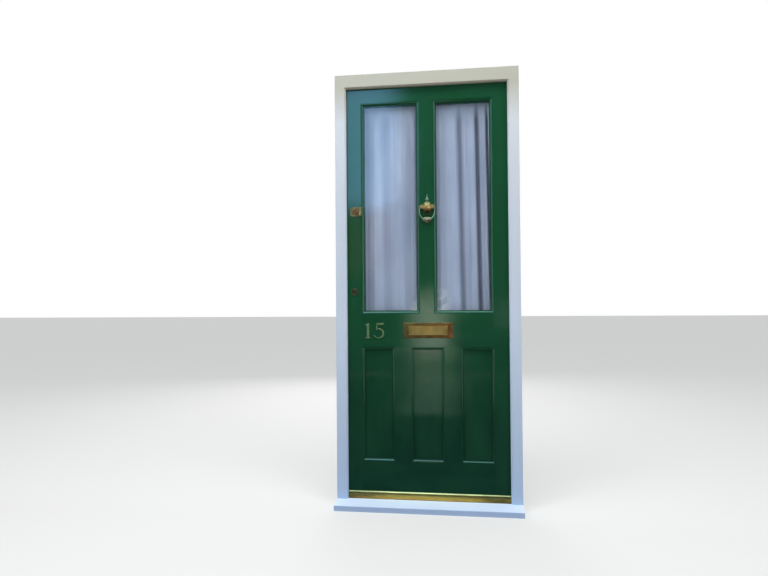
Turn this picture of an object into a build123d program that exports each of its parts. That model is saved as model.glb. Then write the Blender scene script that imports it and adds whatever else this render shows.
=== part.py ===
from build123d import *
from math import atan2, cos, pi, radians, sin, tan
import os

# Panelled timber front door in its rebated frame. Millimetres, +Z up.
# X runs across the doorway, seen from the street, and Y runs into the house.
# The origin is on the underside of the sill, in line with the frame's outer face.

# Leaf
leaf_width = 813
leaf_height = 2032
leaf_thick = 44
stile_flat = 80
top_rail_flat = 80
lock_rail_flat = 165
bottom_rail_flat = 164
glazing_muntin_flat = 68
panel_muntin_flat = 78
lower_opening = 567.5

# Ovolo moulding, worked on the edge of every member
moulding_run = 16
quirk_depth = 2
quirk_run = 1
ovolo_run = 12
ovolo_depth = 11

# Panels and glass
panel_thick = 10
panel_groove = 10
panel_play = 1
glass_thick = 6.4
glass_play = 2
bead_chamfer = 6
mitre_kerf = 0.1

# Joints between the members
tenon_thick = 14
tenon_shoulder = 10
tenon_split = 24
stub_tenon = 25

# Frame
stop_depth = 22
seal_gap = 2
rebate_width = 12
leaf_gap = 3
jamb_face = 55
head_face = 68
arris = 7
frame_tenon_inset = 8
frame_tenon_length = 30
seal_inset = 1
seal_joint = 0.2
fixing_radius = 5.25
fixing_first = 200
fixing_spacing = 500
fixing_count = 4

# Sill
sill_projection = 82
sill_nose = 26
sill_slope = 6
sill_back = 44.5
sill_nose_round = 3
drip_inset = 12
drip_width = 8
drip_depth = 5
under_gap = 8

# Threshold strip
strip_front = 10
strip_height = 36.5
strip_wall = 1.8
strip_foot = 28
strip_foot_thick = 2.5
strip_lip = 10
strip_groove = 2.5
strip_lean = 4.5
strip_end_gap = 0.3
strip_screw_share = 0.8
seal_width = 8
seal_slack = 0.15

# Butt hinges
hinge_height = 100
hinge_thick = 2.5
hinge_recess = 1.2
hinge_flap_width = 30
knuckle_radius = 5.5
hinge_pin_radius = 2.5
pin_play = 0.05
pin_tip_height = 3
knuckle_gap = 0.15
knuckle_stand_off = 0.5
hinge_screw_inset = 12
hinge_screw_shares = (0.3, 0.65, 0.35, 0.7)
hinge_top_drop = 150
hinge_bottom_rise = 225

# Screws
screw_radius = 2
screw_head = 4
screw_sink = 2
screw_play = 0.1
hinge_screw_length = 25
light_screw_length = 16
plate_screw_inset = 9

# How far a cutter runs past the face that it opens
overrun = 1

# Both are set a little right of the leaf's middle
fitting_offset = 4

# Letter plate
letter_width = 242
letter_height = 76
letter_thick = 4
letter_corner = 3
letter_bevel = 2.5
letter_rib = 4
letter_rib_height = 1.5
letter_rib_bevel = 1
letter_side_rim = 25
letter_edge_rim = 15
letter_lap = 2
letter_flap_thick = 2.5
flap_barrel_radius = 1.9
flap_pin_radius = 0.9
lug_thick = 3.5
lug_drop = 4
lug_rise = 3
flap_side_gap = 0.3
slot_margin = 2
letter_bolt_inset = 8
letter_boss_radius = 4
letter_bolt_radius = 2
letter_bolt_tip = 6
letter_bolt_head = 5
bolt_head_thick = 2
inner_frame_thick = 2
inner_frame_lap = 3
inner_flap_thick = 1.5
inner_barrel_radius = 2.1
ear_thick = 2
ear_half_height = 3
ear_pin_rise = 2.5

# Urn knocker. Its outline is given as radius and height from the ring's pivot.
knocker_rise = 1425.5
urn_spire = [(1.5, 62), (3.5, 46), (11, 34)]
urn_neck = [(11, 31.5), (6, 28), (6, 25)]
urn_cover = [(6, 25), (16, 20), (21, 10)]
urn_waist = (22, 4)
urn_bowl = [(21.5, -10), (17, -22), (8, -30)]
urn_foot = [(6, -34), (9, -37), (8, -41), (0, -44)]
shoulder_half = 34.7
shoulder_depth = 15
shoulder_drop = 10.5
shoulder_rise = 6
shoulder_crown = 5
ring_wire = 2.6
ring_side_gap = 0.3
ring_reach = 11
ring_drop = 67
ring_straight = 24
ring_roundness = 0.936
ring_pin_radius = 1.6
ring_pin_length = 8
boss_radius = 8
boss_outline = [(0, 13), (3.5, 10), (boss_radius, 0), (5, -6), (0, -9)]
stud_radius = 7
knocker_bolt_radius = 3
knocker_bolt_tip = 6
knocker_nut_thick = 3

# Rim nightlatch and its cylinder
latch_rise = 1408.5
latch_backset = 53
cylinder_radius = 15
cylinder_barrel_radius = 12
cylinder_proud = 8
cylinder_bevel = 1.5
plug_radius = 6.5
plug_proud = 1.2
key_slot_width = 2.2
key_slot_height = 9
tail_reach = 12
tail_thick = 2
tail_height = 6
pull_width = 58.5
pull_height = 45
pull_thick = 3
pull_corner = 9
pull_right_corner = 2
pull_left_inset = 25.5
pull_grip_reach = 12
pull_grip_wall = 3
pull_grip_inset = 2
case_width = 84
case_height = 66
case_depth = 30
case_wall = 3
case_round = 2
latch_bolt_height = 26
latch_bolt_thick = 16
latch_bolt_length = 42
latch_bolt_nose = 4
latch_travel = 14
latch_play = 0.3
knob_radius = 15
knob_flatness = 0.55
knob_depth = 16
knob_round = 2
spindle_radius = 4
snib_stem = 4
snib_head = 10
snib_head_rise = 4
snib_reach = 1.5
snib_travel = 6
keep_wall = 3
keep_width = 26
keep_flange = 14

# Mortice deadlock
deadlock_rise = 1009.5
deadlock_backset = 45
deadlock_case_thick = 14
deadlock_case_height = 80
deadlock_case_depth = 62
deadlock_case_wall = 3
forend_thick = 3
forend_width = 22
forend_height = 130
deadbolt_height = 25
deadbolt_thick = 10
deadbolt_length = 32
deadbolt_travel = 20
lock_play = 0.25
strike_play = 1
strike_pocket_spare = 6
keyhole_radius = 4
keyhole_slot = 3
keyhole_drop = 11
escutcheon_width = 34
escutcheon_height = 39
escutcheon_thick = 2.5
escutcheon_bevel = 1
strike_thick = 2.5
strike_height = 110

# Net curtains on rods behind the glass
rod_radius = 4
rod_stand_off = 14
rod_rise = 7.5
bracket_width = 6
bracket_height = 20
bracket_plate = 2
bracket_wall = 2
bracket_inset = 2.5
net_thick = 1.2
net_wave = 5
net_fold_width = 26
net_below_sight = 25
net_end_gap = 2
net_play = 0.3

# Worked out from the sizes above
leaf_face = stop_depth + seal_gap
frame_depth = leaf_face + leaf_thick
leaf_mid = leaf_face + leaf_thick / 2
leaf_half = leaf_width / 2
opening_half = leaf_half + leaf_gap - rebate_width
rebate_half = leaf_half + leaf_gap
frame_half = opening_half + jamb_face
leaf_bottom = sill_back + under_gap
leaf_top = leaf_bottom + leaf_height
head_rebate = leaf_top + leaf_gap
soffit = head_rebate - rebate_width
frame_top = soffit + head_face
stile_edge = leaf_half - stile_flat
bottom_rail_top = leaf_bottom + bottom_rail_flat
lock_rail_bottom = bottom_rail_top + lower_opening
lock_rail_top = lock_rail_bottom + lock_rail_flat
top_rail_bottom = leaf_top - top_rail_flat
lock_rail_mid = (lock_rail_bottom + lock_rail_top) / 2
panel_opening = (2 * stile_edge - 2 * panel_muntin_flat) / 3
glass_back = leaf_mid - panel_thick / 2 + glass_thick
panel_front = leaf_mid - panel_thick / 2
panel_back = leaf_mid + panel_thick / 2
sight = moulding_run

glazed_spans_x = [(-stile_edge, -glazing_muntin_flat / 2), (glazing_muntin_flat / 2, stile_edge)]
glazed_span_z = (lock_rail_top, top_rail_bottom)
panel_step = panel_opening + panel_muntin_flat
panel_spans_x = [
    (-stile_edge + i * panel_step, -stile_edge + i * panel_step + panel_opening) for i in range(3)
]
panel_span_z = (bottom_rail_top, lock_rail_bottom)

hinge_pin_x = (leaf_half + rebate_half) / 2
hinge_pin_y = frame_depth + knuckle_radius + knuckle_stand_off
hinge_levels = [
    leaf_bottom + hinge_bottom_rise + hinge_height / 2,
    (leaf_bottom + hinge_bottom_rise + leaf_top - hinge_top_drop) / 2,
    leaf_top - hinge_top_drop - hinge_height / 2,
]
latch_z = leaf_bottom + latch_rise
latch_x = -leaf_half + latch_backset
deadlock_z = leaf_bottom + deadlock_rise
keyhole_x = -leaf_half + deadlock_backset
knocker_z = leaf_bottom + knocker_rise
letter_opening_width = letter_width - 2 * letter_side_rim
letter_opening_height = letter_height - 2 * letter_edge_rim
slot_half_width = letter_opening_width / 2 + letter_lap + flap_side_gap + lug_thick + slot_margin
slot_half_height = letter_opening_height / 2 + letter_lap + slot_margin + flap_barrel_radius
flap_half_width = letter_opening_width / 2 + letter_lap
flap_pivot_y = leaf_face + flap_side_gap + flap_barrel_radius
flap_pivot_z = lock_rail_mid + letter_opening_height / 2 + letter_lap
letter_bolt_x = letter_width / 2 - letter_bolt_inset
inner_frame_half_height = letter_height / 2 + inner_frame_thick
inner_pivot_z = lock_rail_mid + slot_half_height + ear_thick
ring_y = leaf_face - ring_reach
ring_half = shoulder_half + ring_side_gap + ring_wire
rod_z = top_rail_bottom + rod_rise
rod_y = frame_depth + rod_stand_off
net_bottom = lock_rail_top + sight - net_below_sight


def sill_level(y):
    """Height of the weathered top of the sill."""
    return sill_nose + (y + sill_projection) * tan(radians(sill_slope))


def save(piece, label, across=0):
    """Slide the finished piece across the door if asked, name it and write its file."""
    solid = piece.part.moved(Location((across, 0, 0)))
    solid.label = label
    export_step(solid, f"parts/{label}.step")


def block(x_span, y_span, z_span, mode=Mode.ADD):
    """A box between two limits on each axis."""
    middle = tuple((low + high) / 2 for low, high in (x_span, y_span, z_span))
    with Locations(middle):
        Box(x_span[1] - x_span[0], y_span[1] - y_span[0], z_span[1] - z_span[0], mode=mode)


def facing_street(y):
    """Plane parallel to the door at depth y, with X across and Z up."""
    return Plane.XZ.offset(-y)


# Screws

def screw_places(origins, direction):
    """Locations whose +Z is the way the screw heads face."""
    return [Location(Plane(origin=origin, z_dir=direction)) for origin in origins]


def hinge_screw_places(side_x, direction):
    """Four countersunk screws in each of the three hinge flaps."""
    inset = hinge_height / 2 - hinge_screw_inset
    origins = [
        (side_x, frame_depth - hinge_flap_width * share, level + (2 * row / 3 - 1) * inset)
        for level in hinge_levels
        for row, share in enumerate(hinge_screw_shares)
    ]
    return screw_places(origins, direction)


leaf_hinge_screws = hinge_screw_places(leaf_half - hinge_recess + hinge_thick, (1, 0, 0))
frame_hinge_screws = hinge_screw_places(rebate_half + hinge_recess - hinge_thick, (-1, 0, 0))
forend_screws = screw_places(
    [(-leaf_half, leaf_mid, deadlock_z + k * (forend_height / 2 - plate_screw_inset)) for k in (-1, 1)],
    (-1, 0, 0),
)
strike_screws = screw_places(
    [(-rebate_half, leaf_mid, deadlock_z + k * (strike_height / 2 - plate_screw_inset)) for k in (-1, 1)],
    (1, 0, 0),
)
keep_flange_x = -rebate_half - keep_width - keep_flange / 2
keep_screws = screw_places(
    [(keep_flange_x, frame_depth + keep_wall, latch_z + k * case_height / 4) for k in (-1, 1)],
    (0, 1, 0),
)
strip_screw_y = stop_depth + strip_foot - plate_screw_inset
strip_screws = screw_places(
    [(k * opening_half * strip_screw_share, strip_screw_y, sill_back + strip_foot_thick) for k in (-1, 0, 1)],
    (0, 0, 1),
)


def cut_screw_holes(places, length):
    """Clearance hole and countersink for each screw, in the piece being made."""
    with Locations(*places):
        Cylinder(
            screw_radius + screw_play,
            length + overrun,
            align=(Align.CENTER, Align.CENTER, Align.MAX),
            mode=Mode.SUBTRACT,
        )
        Cone(
            screw_radius + screw_play,
            screw_head + screw_play,
            screw_sink,
            align=(Align.CENTER, Align.CENTER, Align.MAX),
            mode=Mode.SUBTRACT,
        )


def add_screws(places, length):
    """Countersunk screws, heads flush, in the piece being made."""
    with Locations(*places):
        Cylinder(screw_radius, length, align=(Align.CENTER, Align.CENTER, Align.MAX))
        Cone(
            screw_radius,
            screw_head,
            screw_sink,
            align=(Align.CENTER, Align.CENTER, Align.MAX),
        )


# Timber members of the leaf

def moulding_cutter(along, edge, step, face, inward, span):
    """Straight cutter that leaves the ovolo on one edge of a member.

    The edge is where the flat face ends, step points into the opening, and
    inward points from the face into the timber.
    """

    def at(run, depth):
        across = edge + step * run
        level = face + inward * depth
        return (across, level) if along == "Z" else (level, across)

    base = Plane.XY if along == "Z" else Plane.YZ
    foot = (quirk_run + ovolo_run, quirk_depth + ovolo_depth)
    crown = (
        quirk_run + ovolo_run * sin(pi / 4),
        quirk_depth + ovolo_depth * (1 - cos(pi / 4)),
    )
    with BuildPart() as cutter:
        with BuildSketch(base.offset(span[0])):
            with BuildLine():
                Polyline(
                    at(quirk_run, quirk_depth),
                    at(0, quirk_depth),
                    at(0, -overrun),
                    at(moulding_run + overrun, -overrun),
                    at(moulding_run + overrun, foot[1]),
                    at(*foot),
                )
                ThreePointArc(at(*foot), at(*crown), at(quirk_run, quirk_depth))
            make_face()
        extrude(amount=span[1] - span[0])
    return cutter.part


def edge_cutters(along, edge, step, spans, glazed):
    """Every cutter for one edge of a member: mouldings, and groove or rebate."""
    cutters = []
    for span in spans:
        cutters.append(moulding_cutter(along, edge, step, leaf_face, 1, span))
        if not glazed:
            cutters.append(moulding_cutter(along, edge, step, frame_depth, -1, span))
        start = 0 if glazed else sight - panel_groove
        depth = (panel_front, frame_depth + overrun) if glazed else (panel_front, panel_back)
        across = sorted((edge + step * start, edge + step * (sight + overrun)))
        with BuildPart() as slot:
            if along == "Z":
                block(across, depth, span)
            else:
                block(span, depth, across)
        cutters.append(slot.part)
    return cutters


def mitred_edge(edge, step, spans):
    """Outline of an edge that stands out by the moulding between its mitres."""
    corners = []
    for low, high in spans:
        corners.append((low, edge))
        corners.append((low + sight, edge + step * sight))
        corners.append((high - sight, edge + step * sight))
        corners.append((high, edge))
    return corners


def tenon(x_span, z_span):
    """A tenon in the middle of the leaf's thickness, as limits on each axis."""
    y_span = (leaf_mid - tenon_thick / 2, leaf_mid + tenon_thick / 2)
    return (x_span, y_span, z_span)


def rail_tenons(low, high, double):
    """Through tenons at both ends of a rail, one or two high."""
    bottom = low + tenon_shoulder
    top = high - tenon_shoulder
    middle = (bottom + top) / 2
    if double:
        spans = [(bottom, middle - tenon_split / 2), (middle + tenon_split / 2, top)]
    else:
        spans = [(bottom, top)]
    ends = [(-leaf_half, -stile_edge), (stile_edge, leaf_half)]
    return [tenon(end, span) for end in ends for span in spans]


def muntin_tenons(middle, flat, span):
    """Stub tenons at the top and bottom of a muntin."""
    across = (middle - flat / 2 + tenon_shoulder, middle + flat / 2 - tenon_shoulder)
    return [tenon(across, (span[0] - stub_tenon, span[0])), tenon(across, (span[1], span[1] + stub_tenon))]


top_tenons = rail_tenons(top_rail_bottom, leaf_top - tenon_shoulder, False)
lock_tenons = rail_tenons(lock_rail_bottom, lock_rail_top, True)
bottom_tenons = rail_tenons(leaf_bottom, bottom_rail_top, True)
glazing_muntin_tenons = muntin_tenons(0, glazing_muntin_flat, glazed_span_z)
panel_muntin_middles = [-panel_step / 2, panel_step / 2]
panel_muntin_tenons = [muntin_tenons(x, panel_muntin_flat, panel_span_z) for x in panel_muntin_middles]


def cut_deadlock_mortice():
    """Room for the deadlock case, its forend and the key, in the lock stile."""
    y_case = deadlock_case_thick / 2 + lock_play
    z_case = deadlock_case_height / 2 + lock_play
    block(
        (-leaf_half - overrun, -leaf_half + forend_thick + deadlock_case_depth + lock_play),
        (leaf_mid - y_case, leaf_mid + y_case),
        (deadlock_z - z_case, deadlock_z + z_case),
        Mode.SUBTRACT,
    )
    block(
        (-leaf_half - overrun, -leaf_half + forend_thick),
        (leaf_mid - forend_width / 2 - lock_play, leaf_mid + forend_width / 2 + lock_play),
        (deadlock_z - forend_height / 2 - lock_play, deadlock_z + forend_height / 2 + lock_play),
        Mode.SUBTRACT,
    )
    cut_keyhole((leaf_face - overrun, frame_depth + overrun))
    cut_screw_holes(forend_screws, light_screw_length)


def cut_keyhole(y_span):
    """Round-topped keyhole through the piece being made."""
    depth = y_span[1] - y_span[0]
    with Locations((keyhole_x, sum(y_span) / 2, deadlock_z)):
        Cylinder(keyhole_radius, depth, rotation=(90, 0, 0), mode=Mode.SUBTRACT)
    block(
        (keyhole_x - keyhole_slot / 2, keyhole_x + keyhole_slot / 2),
        y_span,
        (deadlock_z - keyhole_drop, deadlock_z),
        Mode.SUBTRACT,
    )


def cut_cylinder_hole():
    """Hole for the rim cylinder, through the lock stile."""
    with Locations((latch_x, leaf_mid, latch_z)):
        Cylinder(
            cylinder_radius + latch_play,
            leaf_thick + 2 * overrun,
            rotation=(90, 0, 0),
            mode=Mode.SUBTRACT,
        )


def cut_hinge_recesses(face_x, into):
    """Housings for the three hinge flaps, in a leaf edge or a jamb."""
    across = sorted((face_x + into * hinge_recess, face_x - into))
    for level in hinge_levels:
        block(
            across,
            (frame_depth - hinge_flap_width, frame_depth + overrun),
            (level - hinge_height / 2, level + hinge_height / 2),
            Mode.SUBTRACT,
        )


def cut_lock_edge():
    """Everything that the locks need in the leaf's left edge."""
    cut_deadlock_mortice()
    cut_cylinder_hole()


def cut_hinge_edge():
    """Everything that the hinges need in the leaf's right edge."""
    cut_hinge_recesses(leaf_half, -1)
    cut_screw_holes(leaf_hinge_screws, hinge_screw_length)


def stile(label, side):
    """A stile, with side -1 for the lock edge and 1 for the hinge edge."""
    edge = side * stile_edge
    spans = [panel_span_z, glazed_span_z]
    cutters = edge_cutters("Z", edge, -side, [panel_span_z], False)
    cutters += edge_cutters("Z", edge, -side, [glazed_span_z], True)
    inner = [(x, z) for z, x in mitred_edge(edge, -side, spans)]
    with BuildPart() as board:
        with BuildSketch(facing_street(leaf_face)):
            with BuildLine():
                Polyline(
                    (side * leaf_half, leaf_bottom),
                    (edge, leaf_bottom),
                    *inner,
                    (edge, leaf_top),
                    (side * leaf_half, leaf_top),
                    close=True,
                )
            make_face()
        extrude(amount=-leaf_thick)
        add(cutters, mode=Mode.SUBTRACT)
        for x_span, y_span, z_span in top_tenons + lock_tenons + bottom_tenons:
            if side * sum(x_span) > 0:
                block(x_span, y_span, z_span, Mode.SUBTRACT)
        if side < 0:
            cut_lock_edge()
        else:
            cut_hinge_edge()
    save(board, label)


def rail(label, low, high, below, above, tenons, mortices):
    """A rail between the stiles. Below and above list the openings it edges."""
    cutters = []
    lower = []
    upper = []
    if below:
        spans, glazed = below
        cutters += edge_cutters("X", low, -1, spans, glazed)
        lower = mitred_edge(low, -1, spans)
    if above:
        spans, glazed = above
        cutters += edge_cutters("X", high, 1, spans, glazed)
        upper = mitred_edge(high, 1, spans)
    outline = lower or [(-stile_edge, low), (stile_edge, low)]
    outline += list(reversed(upper)) or [(stile_edge, high), (-stile_edge, high)]
    with BuildPart() as board:
        with BuildSketch(facing_street(leaf_face)):
            with BuildLine():
                Polyline(*outline, close=True)
            make_face()
        extrude(amount=-leaf_thick)
        add(cutters, mode=Mode.SUBTRACT)
        for limits in tenons:
            block(*limits)
        for limits in mortices:
            block(*limits, Mode.SUBTRACT)
        cut_lock_edge()
        cut_hinge_edge()
        if label == "lock_rail":
            cut_letter_slot()
    save(board, label)


def muntin(label, middle, flat, span, glazed, tenons):
    """An upright between two rails, moulded on both edges."""
    cutters = []
    outline = []
    for step in (-1, 1):
        edge = middle + step * flat / 2
        cutters += edge_cutters("Z", edge, step, [span], glazed)
        corners = [(x, z) for z, x in mitred_edge(edge, step, [span])]
        outline += corners if step < 0 else corners[::-1]
    with BuildPart() as board:
        with BuildSketch(facing_street(leaf_face)):
            with BuildLine():
                Polyline(*outline, close=True)
            make_face()
        extrude(amount=-leaf_thick)
        add(cutters, mode=Mode.SUBTRACT)
        for limits in tenons:
            block(*limits)
        if label == "glazing_muntin":
            with Locations((fitting_offset, leaf_mid, knocker_z)):
                Cylinder(
                    knocker_bolt_radius + screw_play,
                    leaf_thick + 2 * overrun,
                    rotation=(90, 0, 0),
                    mode=Mode.SUBTRACT,
                )
    save(board, label)


def cut_letter_slot():
    """Slot for letters through the lock rail, and holes for the two bolts."""
    block(
        (fitting_offset - slot_half_width, fitting_offset + slot_half_width),
        (leaf_face - overrun, frame_depth + overrun),
        (lock_rail_mid - slot_half_height, lock_rail_mid + slot_half_height),
        Mode.SUBTRACT,
    )
    with Locations(*[(fitting_offset + k * letter_bolt_x, leaf_mid, lock_rail_mid) for k in (-1, 1)]):
        Cylinder(
            letter_boss_radius + lock_play,
            leaf_thick + 2 * overrun,
            rotation=(90, 0, 0),
            mode=Mode.SUBTRACT,
        )


def panel(label, span):
    """A flat panel, held in the grooves of its four members."""
    inset = sight - panel_groove + panel_play
    with BuildPart() as board:
        block(
            (span[0] + inset, span[1] - inset),
            (panel_front, panel_back),
            (panel_span_z[0] + inset, panel_span_z[1] - inset),
        )
    save(board, label)


def pane(label, span):
    """A sheet of glass, set against the rebate from inside."""
    with BuildPart() as sheet:
        block(
            (span[0] + glass_play, span[1] - glass_play),
            (panel_front, glass_back),
            (glazed_span_z[0] + glass_play, glazed_span_z[1] - glass_play),
        )
    save(sheet, label)


def beads(label, span):
    """Four mitred beads that hold one pane, with a bevelled inner edge."""
    width = span[1] - span[0]
    height = glazed_span_z[1] - glazed_span_z[0]
    middle = ((span[0] + span[1]) / 2, sum(glazed_span_z) / 2)
    depth = frame_depth - glass_back
    with BuildPart() as ring:
        with BuildSketch(facing_street(glass_back)):
            with Locations(middle):
                Rectangle(width, height)
                Rectangle(width - 2 * sight, height - 2 * sight, mode=Mode.SUBTRACT)
        extrude(amount=-depth)
        inner_face = ring.faces().sort_by(Axis.Y)[-1]
        chamfer(inner_face.inner_wires()[0].edges(), length=bead_chamfer)
        for side in (-1, 1):
            for level in (-1, 1):
                corner = (
                    middle[0] + side * (width - sight) / 2,
                    glass_back + depth / 2,
                    middle[1] + level * (height - sight) / 2,
                )
                with Locations(corner):
                    Box(
                        4 * sight,
                        depth + 2 * overrun,
                        mitre_kerf,
                        rotation=(0, -45 * side * level, 0),
                        mode=Mode.SUBTRACT,
                    )
    save(ring, label)


def build_leaf_timber():
    """Stiles, rails, muntins, panels, glass and beads."""
    stile("lock_stile", -1)
    stile("hinge_stile", 1)
    rail(
        "top_rail",
        top_rail_bottom,
        leaf_top,
        (glazed_spans_x, True),
        None,
        top_tenons,
        glazing_muntin_tenons[1:],
    )
    lock_mortices = glazing_muntin_tenons[:1] + [pair[1] for pair in panel_muntin_tenons]
    rail(
        "lock_rail",
        lock_rail_bottom,
        lock_rail_top,
        (panel_spans_x, False),
        (glazed_spans_x, True),
        lock_tenons,
        lock_mortices,
    )
    rail(
        "bottom_rail",
        leaf_bottom,
        bottom_rail_top,
        None,
        (panel_spans_x, False),
        bottom_tenons,
        [pair[0] for pair in panel_muntin_tenons],
    )
    muntin("glazing_muntin", 0, glazing_muntin_flat, glazed_span_z, True, glazing_muntin_tenons)
    for name, x, tenons in zip(("left", "right"), panel_muntin_middles, panel_muntin_tenons):
        muntin(f"{name}_panel_muntin", x, panel_muntin_flat, panel_span_z, False, tenons)
    for name, span in zip(("left", "middle", "right"), panel_spans_x):
        panel(f"{name}_panel", span)
    for name, span in zip(("left", "right"), glazed_spans_x):
        pane(f"{name}_glass", span)
        beads(f"{name}_glazing_beads", span)


# Frame

def head_section():
    """The head without its mortices, rebated for the leaf."""
    with BuildPart() as beam:
        with BuildSketch(Plane.YZ.offset(-frame_half)):
            with BuildLine():
                Polyline(
                    (0, soffit + arris),
                    (arris, soffit),
                    (stop_depth, soffit),
                    (stop_depth, head_rebate),
                    (frame_depth, head_rebate),
                    (frame_depth, frame_top),
                    (0, frame_top),
                    close=True,
                )
            make_face()
        extrude(amount=2 * frame_half)
    return beam.part


def sill_section():
    """The sill without its mortices: weathered top, drip groove, square back."""
    with BuildPart() as beam:
        with BuildSketch(Plane.YZ.offset(-frame_half)):
            with BuildLine():
                Polyline(
                    (-sill_projection, 0),
                    (-sill_projection, sill_nose),
                    (stop_depth, sill_level(stop_depth)),
                    (stop_depth, sill_back),
                    (frame_depth, sill_back),
                    (frame_depth, 0),
                    close=True,
                )
            make_face()
            with Locations((-sill_projection + drip_inset + drip_width / 2, 0)):
                Rectangle(drip_width, 2 * drip_depth, mode=Mode.SUBTRACT)
        extrude(amount=2 * frame_half)
        nose = beam.edges().filter_by(Axis.X).sort_by(Axis.Y)[:2]
        fillet(nose.sort_by(Axis.Z)[-1], radius=sill_nose_round)
    return beam.part


def jamb_tenons(side):
    """Tenons of one jamb, up into the head and down into the sill."""
    inner = rebate_half + frame_tenon_inset
    outer = frame_half - frame_tenon_inset
    x_span = (inner, outer) if side > 0 else (-outer, -inner)
    y_span = (stop_depth + frame_tenon_inset, frame_depth - frame_tenon_inset)
    return [
        (x_span, y_span, (head_rebate, head_rebate + frame_tenon_length)),
        (x_span, y_span, (sill_back - frame_tenon_length, sill_back)),
    ]


def head_and_sill():
    """The head and the sill, morticed for the jambs."""
    for label, beam, which in (("frame_head", head_section(), 0), ("sill", sill_section(), 1)):
        with BuildPart() as piece:
            add(beam)
            for side in (-1, 1):
                block(*jamb_tenons(side)[which], Mode.SUBTRACT)
            if label == "sill":
                cut_screw_holes(strip_screws, light_screw_length)
        save(piece, label)


def jamb(label, side):
    """A rebated jamb, scribed to the head and the sill."""
    with BuildPart() as post:
        with BuildSketch(Plane.XY):
            with BuildLine():
                Polyline(
                    (side * opening_half, arris),
                    (side * (opening_half + arris), 0),
                    (side * frame_half, 0),
                    (side * frame_half, frame_depth),
                    (side * rebate_half, frame_depth),
                    (side * rebate_half, stop_depth),
                    (side * opening_half, stop_depth),
                    close=True,
                )
            make_face()
        extrude(amount=head_rebate)
        add([head_section(), sill_section()], mode=Mode.SUBTRACT)
        for limits in jamb_tenons(side):
            block(*limits)
        fixings = [
            (side * (rebate_half + frame_half) / 2, leaf_mid, fixing_first + i * fixing_spacing)
            for i in range(fixing_count)
        ]
        with Locations(*fixings):
            Cylinder(fixing_radius, jamb_face, rotation=(0, 90, 0), mode=Mode.SUBTRACT)
        if side > 0:
            cut_hinge_recesses(rebate_half, 1)
            cut_screw_holes(frame_hinge_screws, hinge_screw_length)
        else:
            cut_strike_mortice()
            cut_screw_holes(keep_screws, light_screw_length)
    save(post, label)


def cut_strike_mortice():
    """Housing for the strike plate and the pocket for the deadbolt."""
    block(
        (-rebate_half - strike_thick, -rebate_half + overrun),
        (leaf_mid - forend_width / 2, leaf_mid + forend_width / 2),
        (deadlock_z - strike_height / 2, deadlock_z + strike_height / 2),
        Mode.SUBTRACT,
    )
    pocket = deadbolt_travel + strike_pocket_spare
    block(
        (-rebate_half - pocket, -rebate_half),
        (leaf_mid - deadbolt_thick / 2 - strike_play, leaf_mid + deadbolt_thick / 2 + strike_play),
        (deadlock_z - deadbolt_height / 2 - strike_play, deadlock_z + deadbolt_height / 2 + strike_play),
        Mode.SUBTRACT,
    )
    cut_screw_holes(strike_screws, light_screw_length)


def frame_seal():
    """Three strips of seal in the rebate, between the stops and the leaf."""
    inner = opening_half + seal_inset
    y_span = (stop_depth, leaf_face - seal_slack)
    foot = leaf_bottom
    shoulder = soffit + seal_inset
    top_span = (shoulder + seal_joint, shoulder + seal_joint + seal_width)
    with BuildPart() as strips:
        for side in (-1, 1):
            x_span = sorted((side * inner, side * (inner + seal_width)))
            block(x_span, y_span, (foot, shoulder))
        block((-inner - seal_width, inner + seal_width), y_span, top_span)
    save(strips, "frame_seal")


def threshold_strip():
    """Hollow weather bar on the sill: curved band, groove, rounded lip and foot."""
    length = 2 * (opening_half - strip_end_gap)
    low = sill_level(strip_front)
    top = low + strip_height
    lip_bottom = top - strip_lip
    band_top = lip_bottom - strip_groove
    back = stop_depth
    wall = strip_wall
    with BuildPart() as strip:
        with BuildSketch(Plane.YZ.offset(-length / 2)):
            with BuildLine():
                Line((strip_front, low), (strip_front, low + 4))
                ThreePointArc(
                    (strip_front, low + 4),
                    (strip_front + 1.2, low + 14),
                    (strip_front + strip_lean, band_top),
                )
                Polyline(
                    (strip_front + strip_lean, band_top),
                    (strip_front + 6.5, band_top + 0.5),
                    (strip_front + 6.5, lip_bottom),
                    (strip_front + 4, lip_bottom + 1),
                )
                ThreePointArc(
                    (strip_front + 4, lip_bottom + 1),
                    (strip_front + 5.5, top - 2.5),
                    (back - 2, top),
                )
                Polyline(
                    (back - 2, top),
                    (back, top - 1),
                    (back, sill_back + strip_foot_thick),
                    (back + strip_foot, sill_back + strip_foot_thick),
                    (back + strip_foot, sill_back),
                    (back, sill_back),
                    (back, sill_level(back)),
                    (strip_front, low),
                )
            make_face()
            with BuildLine():
                Polyline(
                    (strip_front + wall + 0.4, low + wall + 2),
                    (strip_front + wall + 3.5, band_top - 2.5),
                    (back - wall - 1, band_top - 2.5),
                    (back - wall - 1, low + wall + 2),
                    close=True,
                )
            make_face(mode=Mode.SUBTRACT)
            with Locations((back, lip_bottom + 3)):
                Rectangle(2 * 1.5, 4, mode=Mode.SUBTRACT)
        extrude(amount=length)
        cut_screw_holes(strip_screws, light_screw_length)
    save(strip, "threshold_strip")

    with BuildPart() as seal:
        with BuildSketch(Plane.YZ.offset(-length / 2)):
            with BuildLine():
                Polyline(
                    (back - 1.5, lip_bottom + 1),
                    (back, lip_bottom + 1),
                    (leaf_face - seal_slack, lip_bottom + 2.5),
                    (leaf_face - seal_slack, lip_bottom + 3.5),
                    (back, lip_bottom + 5),
                    (back - 1.5, lip_bottom + 5),
                    close=True,
                )
            make_face()
        extrude(amount=length)
    save(seal, "threshold_seal")


def build_frame():
    """Head, sill, jambs, seals and the threshold strip."""
    head_and_sill()
    jamb("lock_jamb", -1)
    jamb("hinge_jamb", 1)
    frame_seal()
    threshold_strip()


# Hinges

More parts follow.
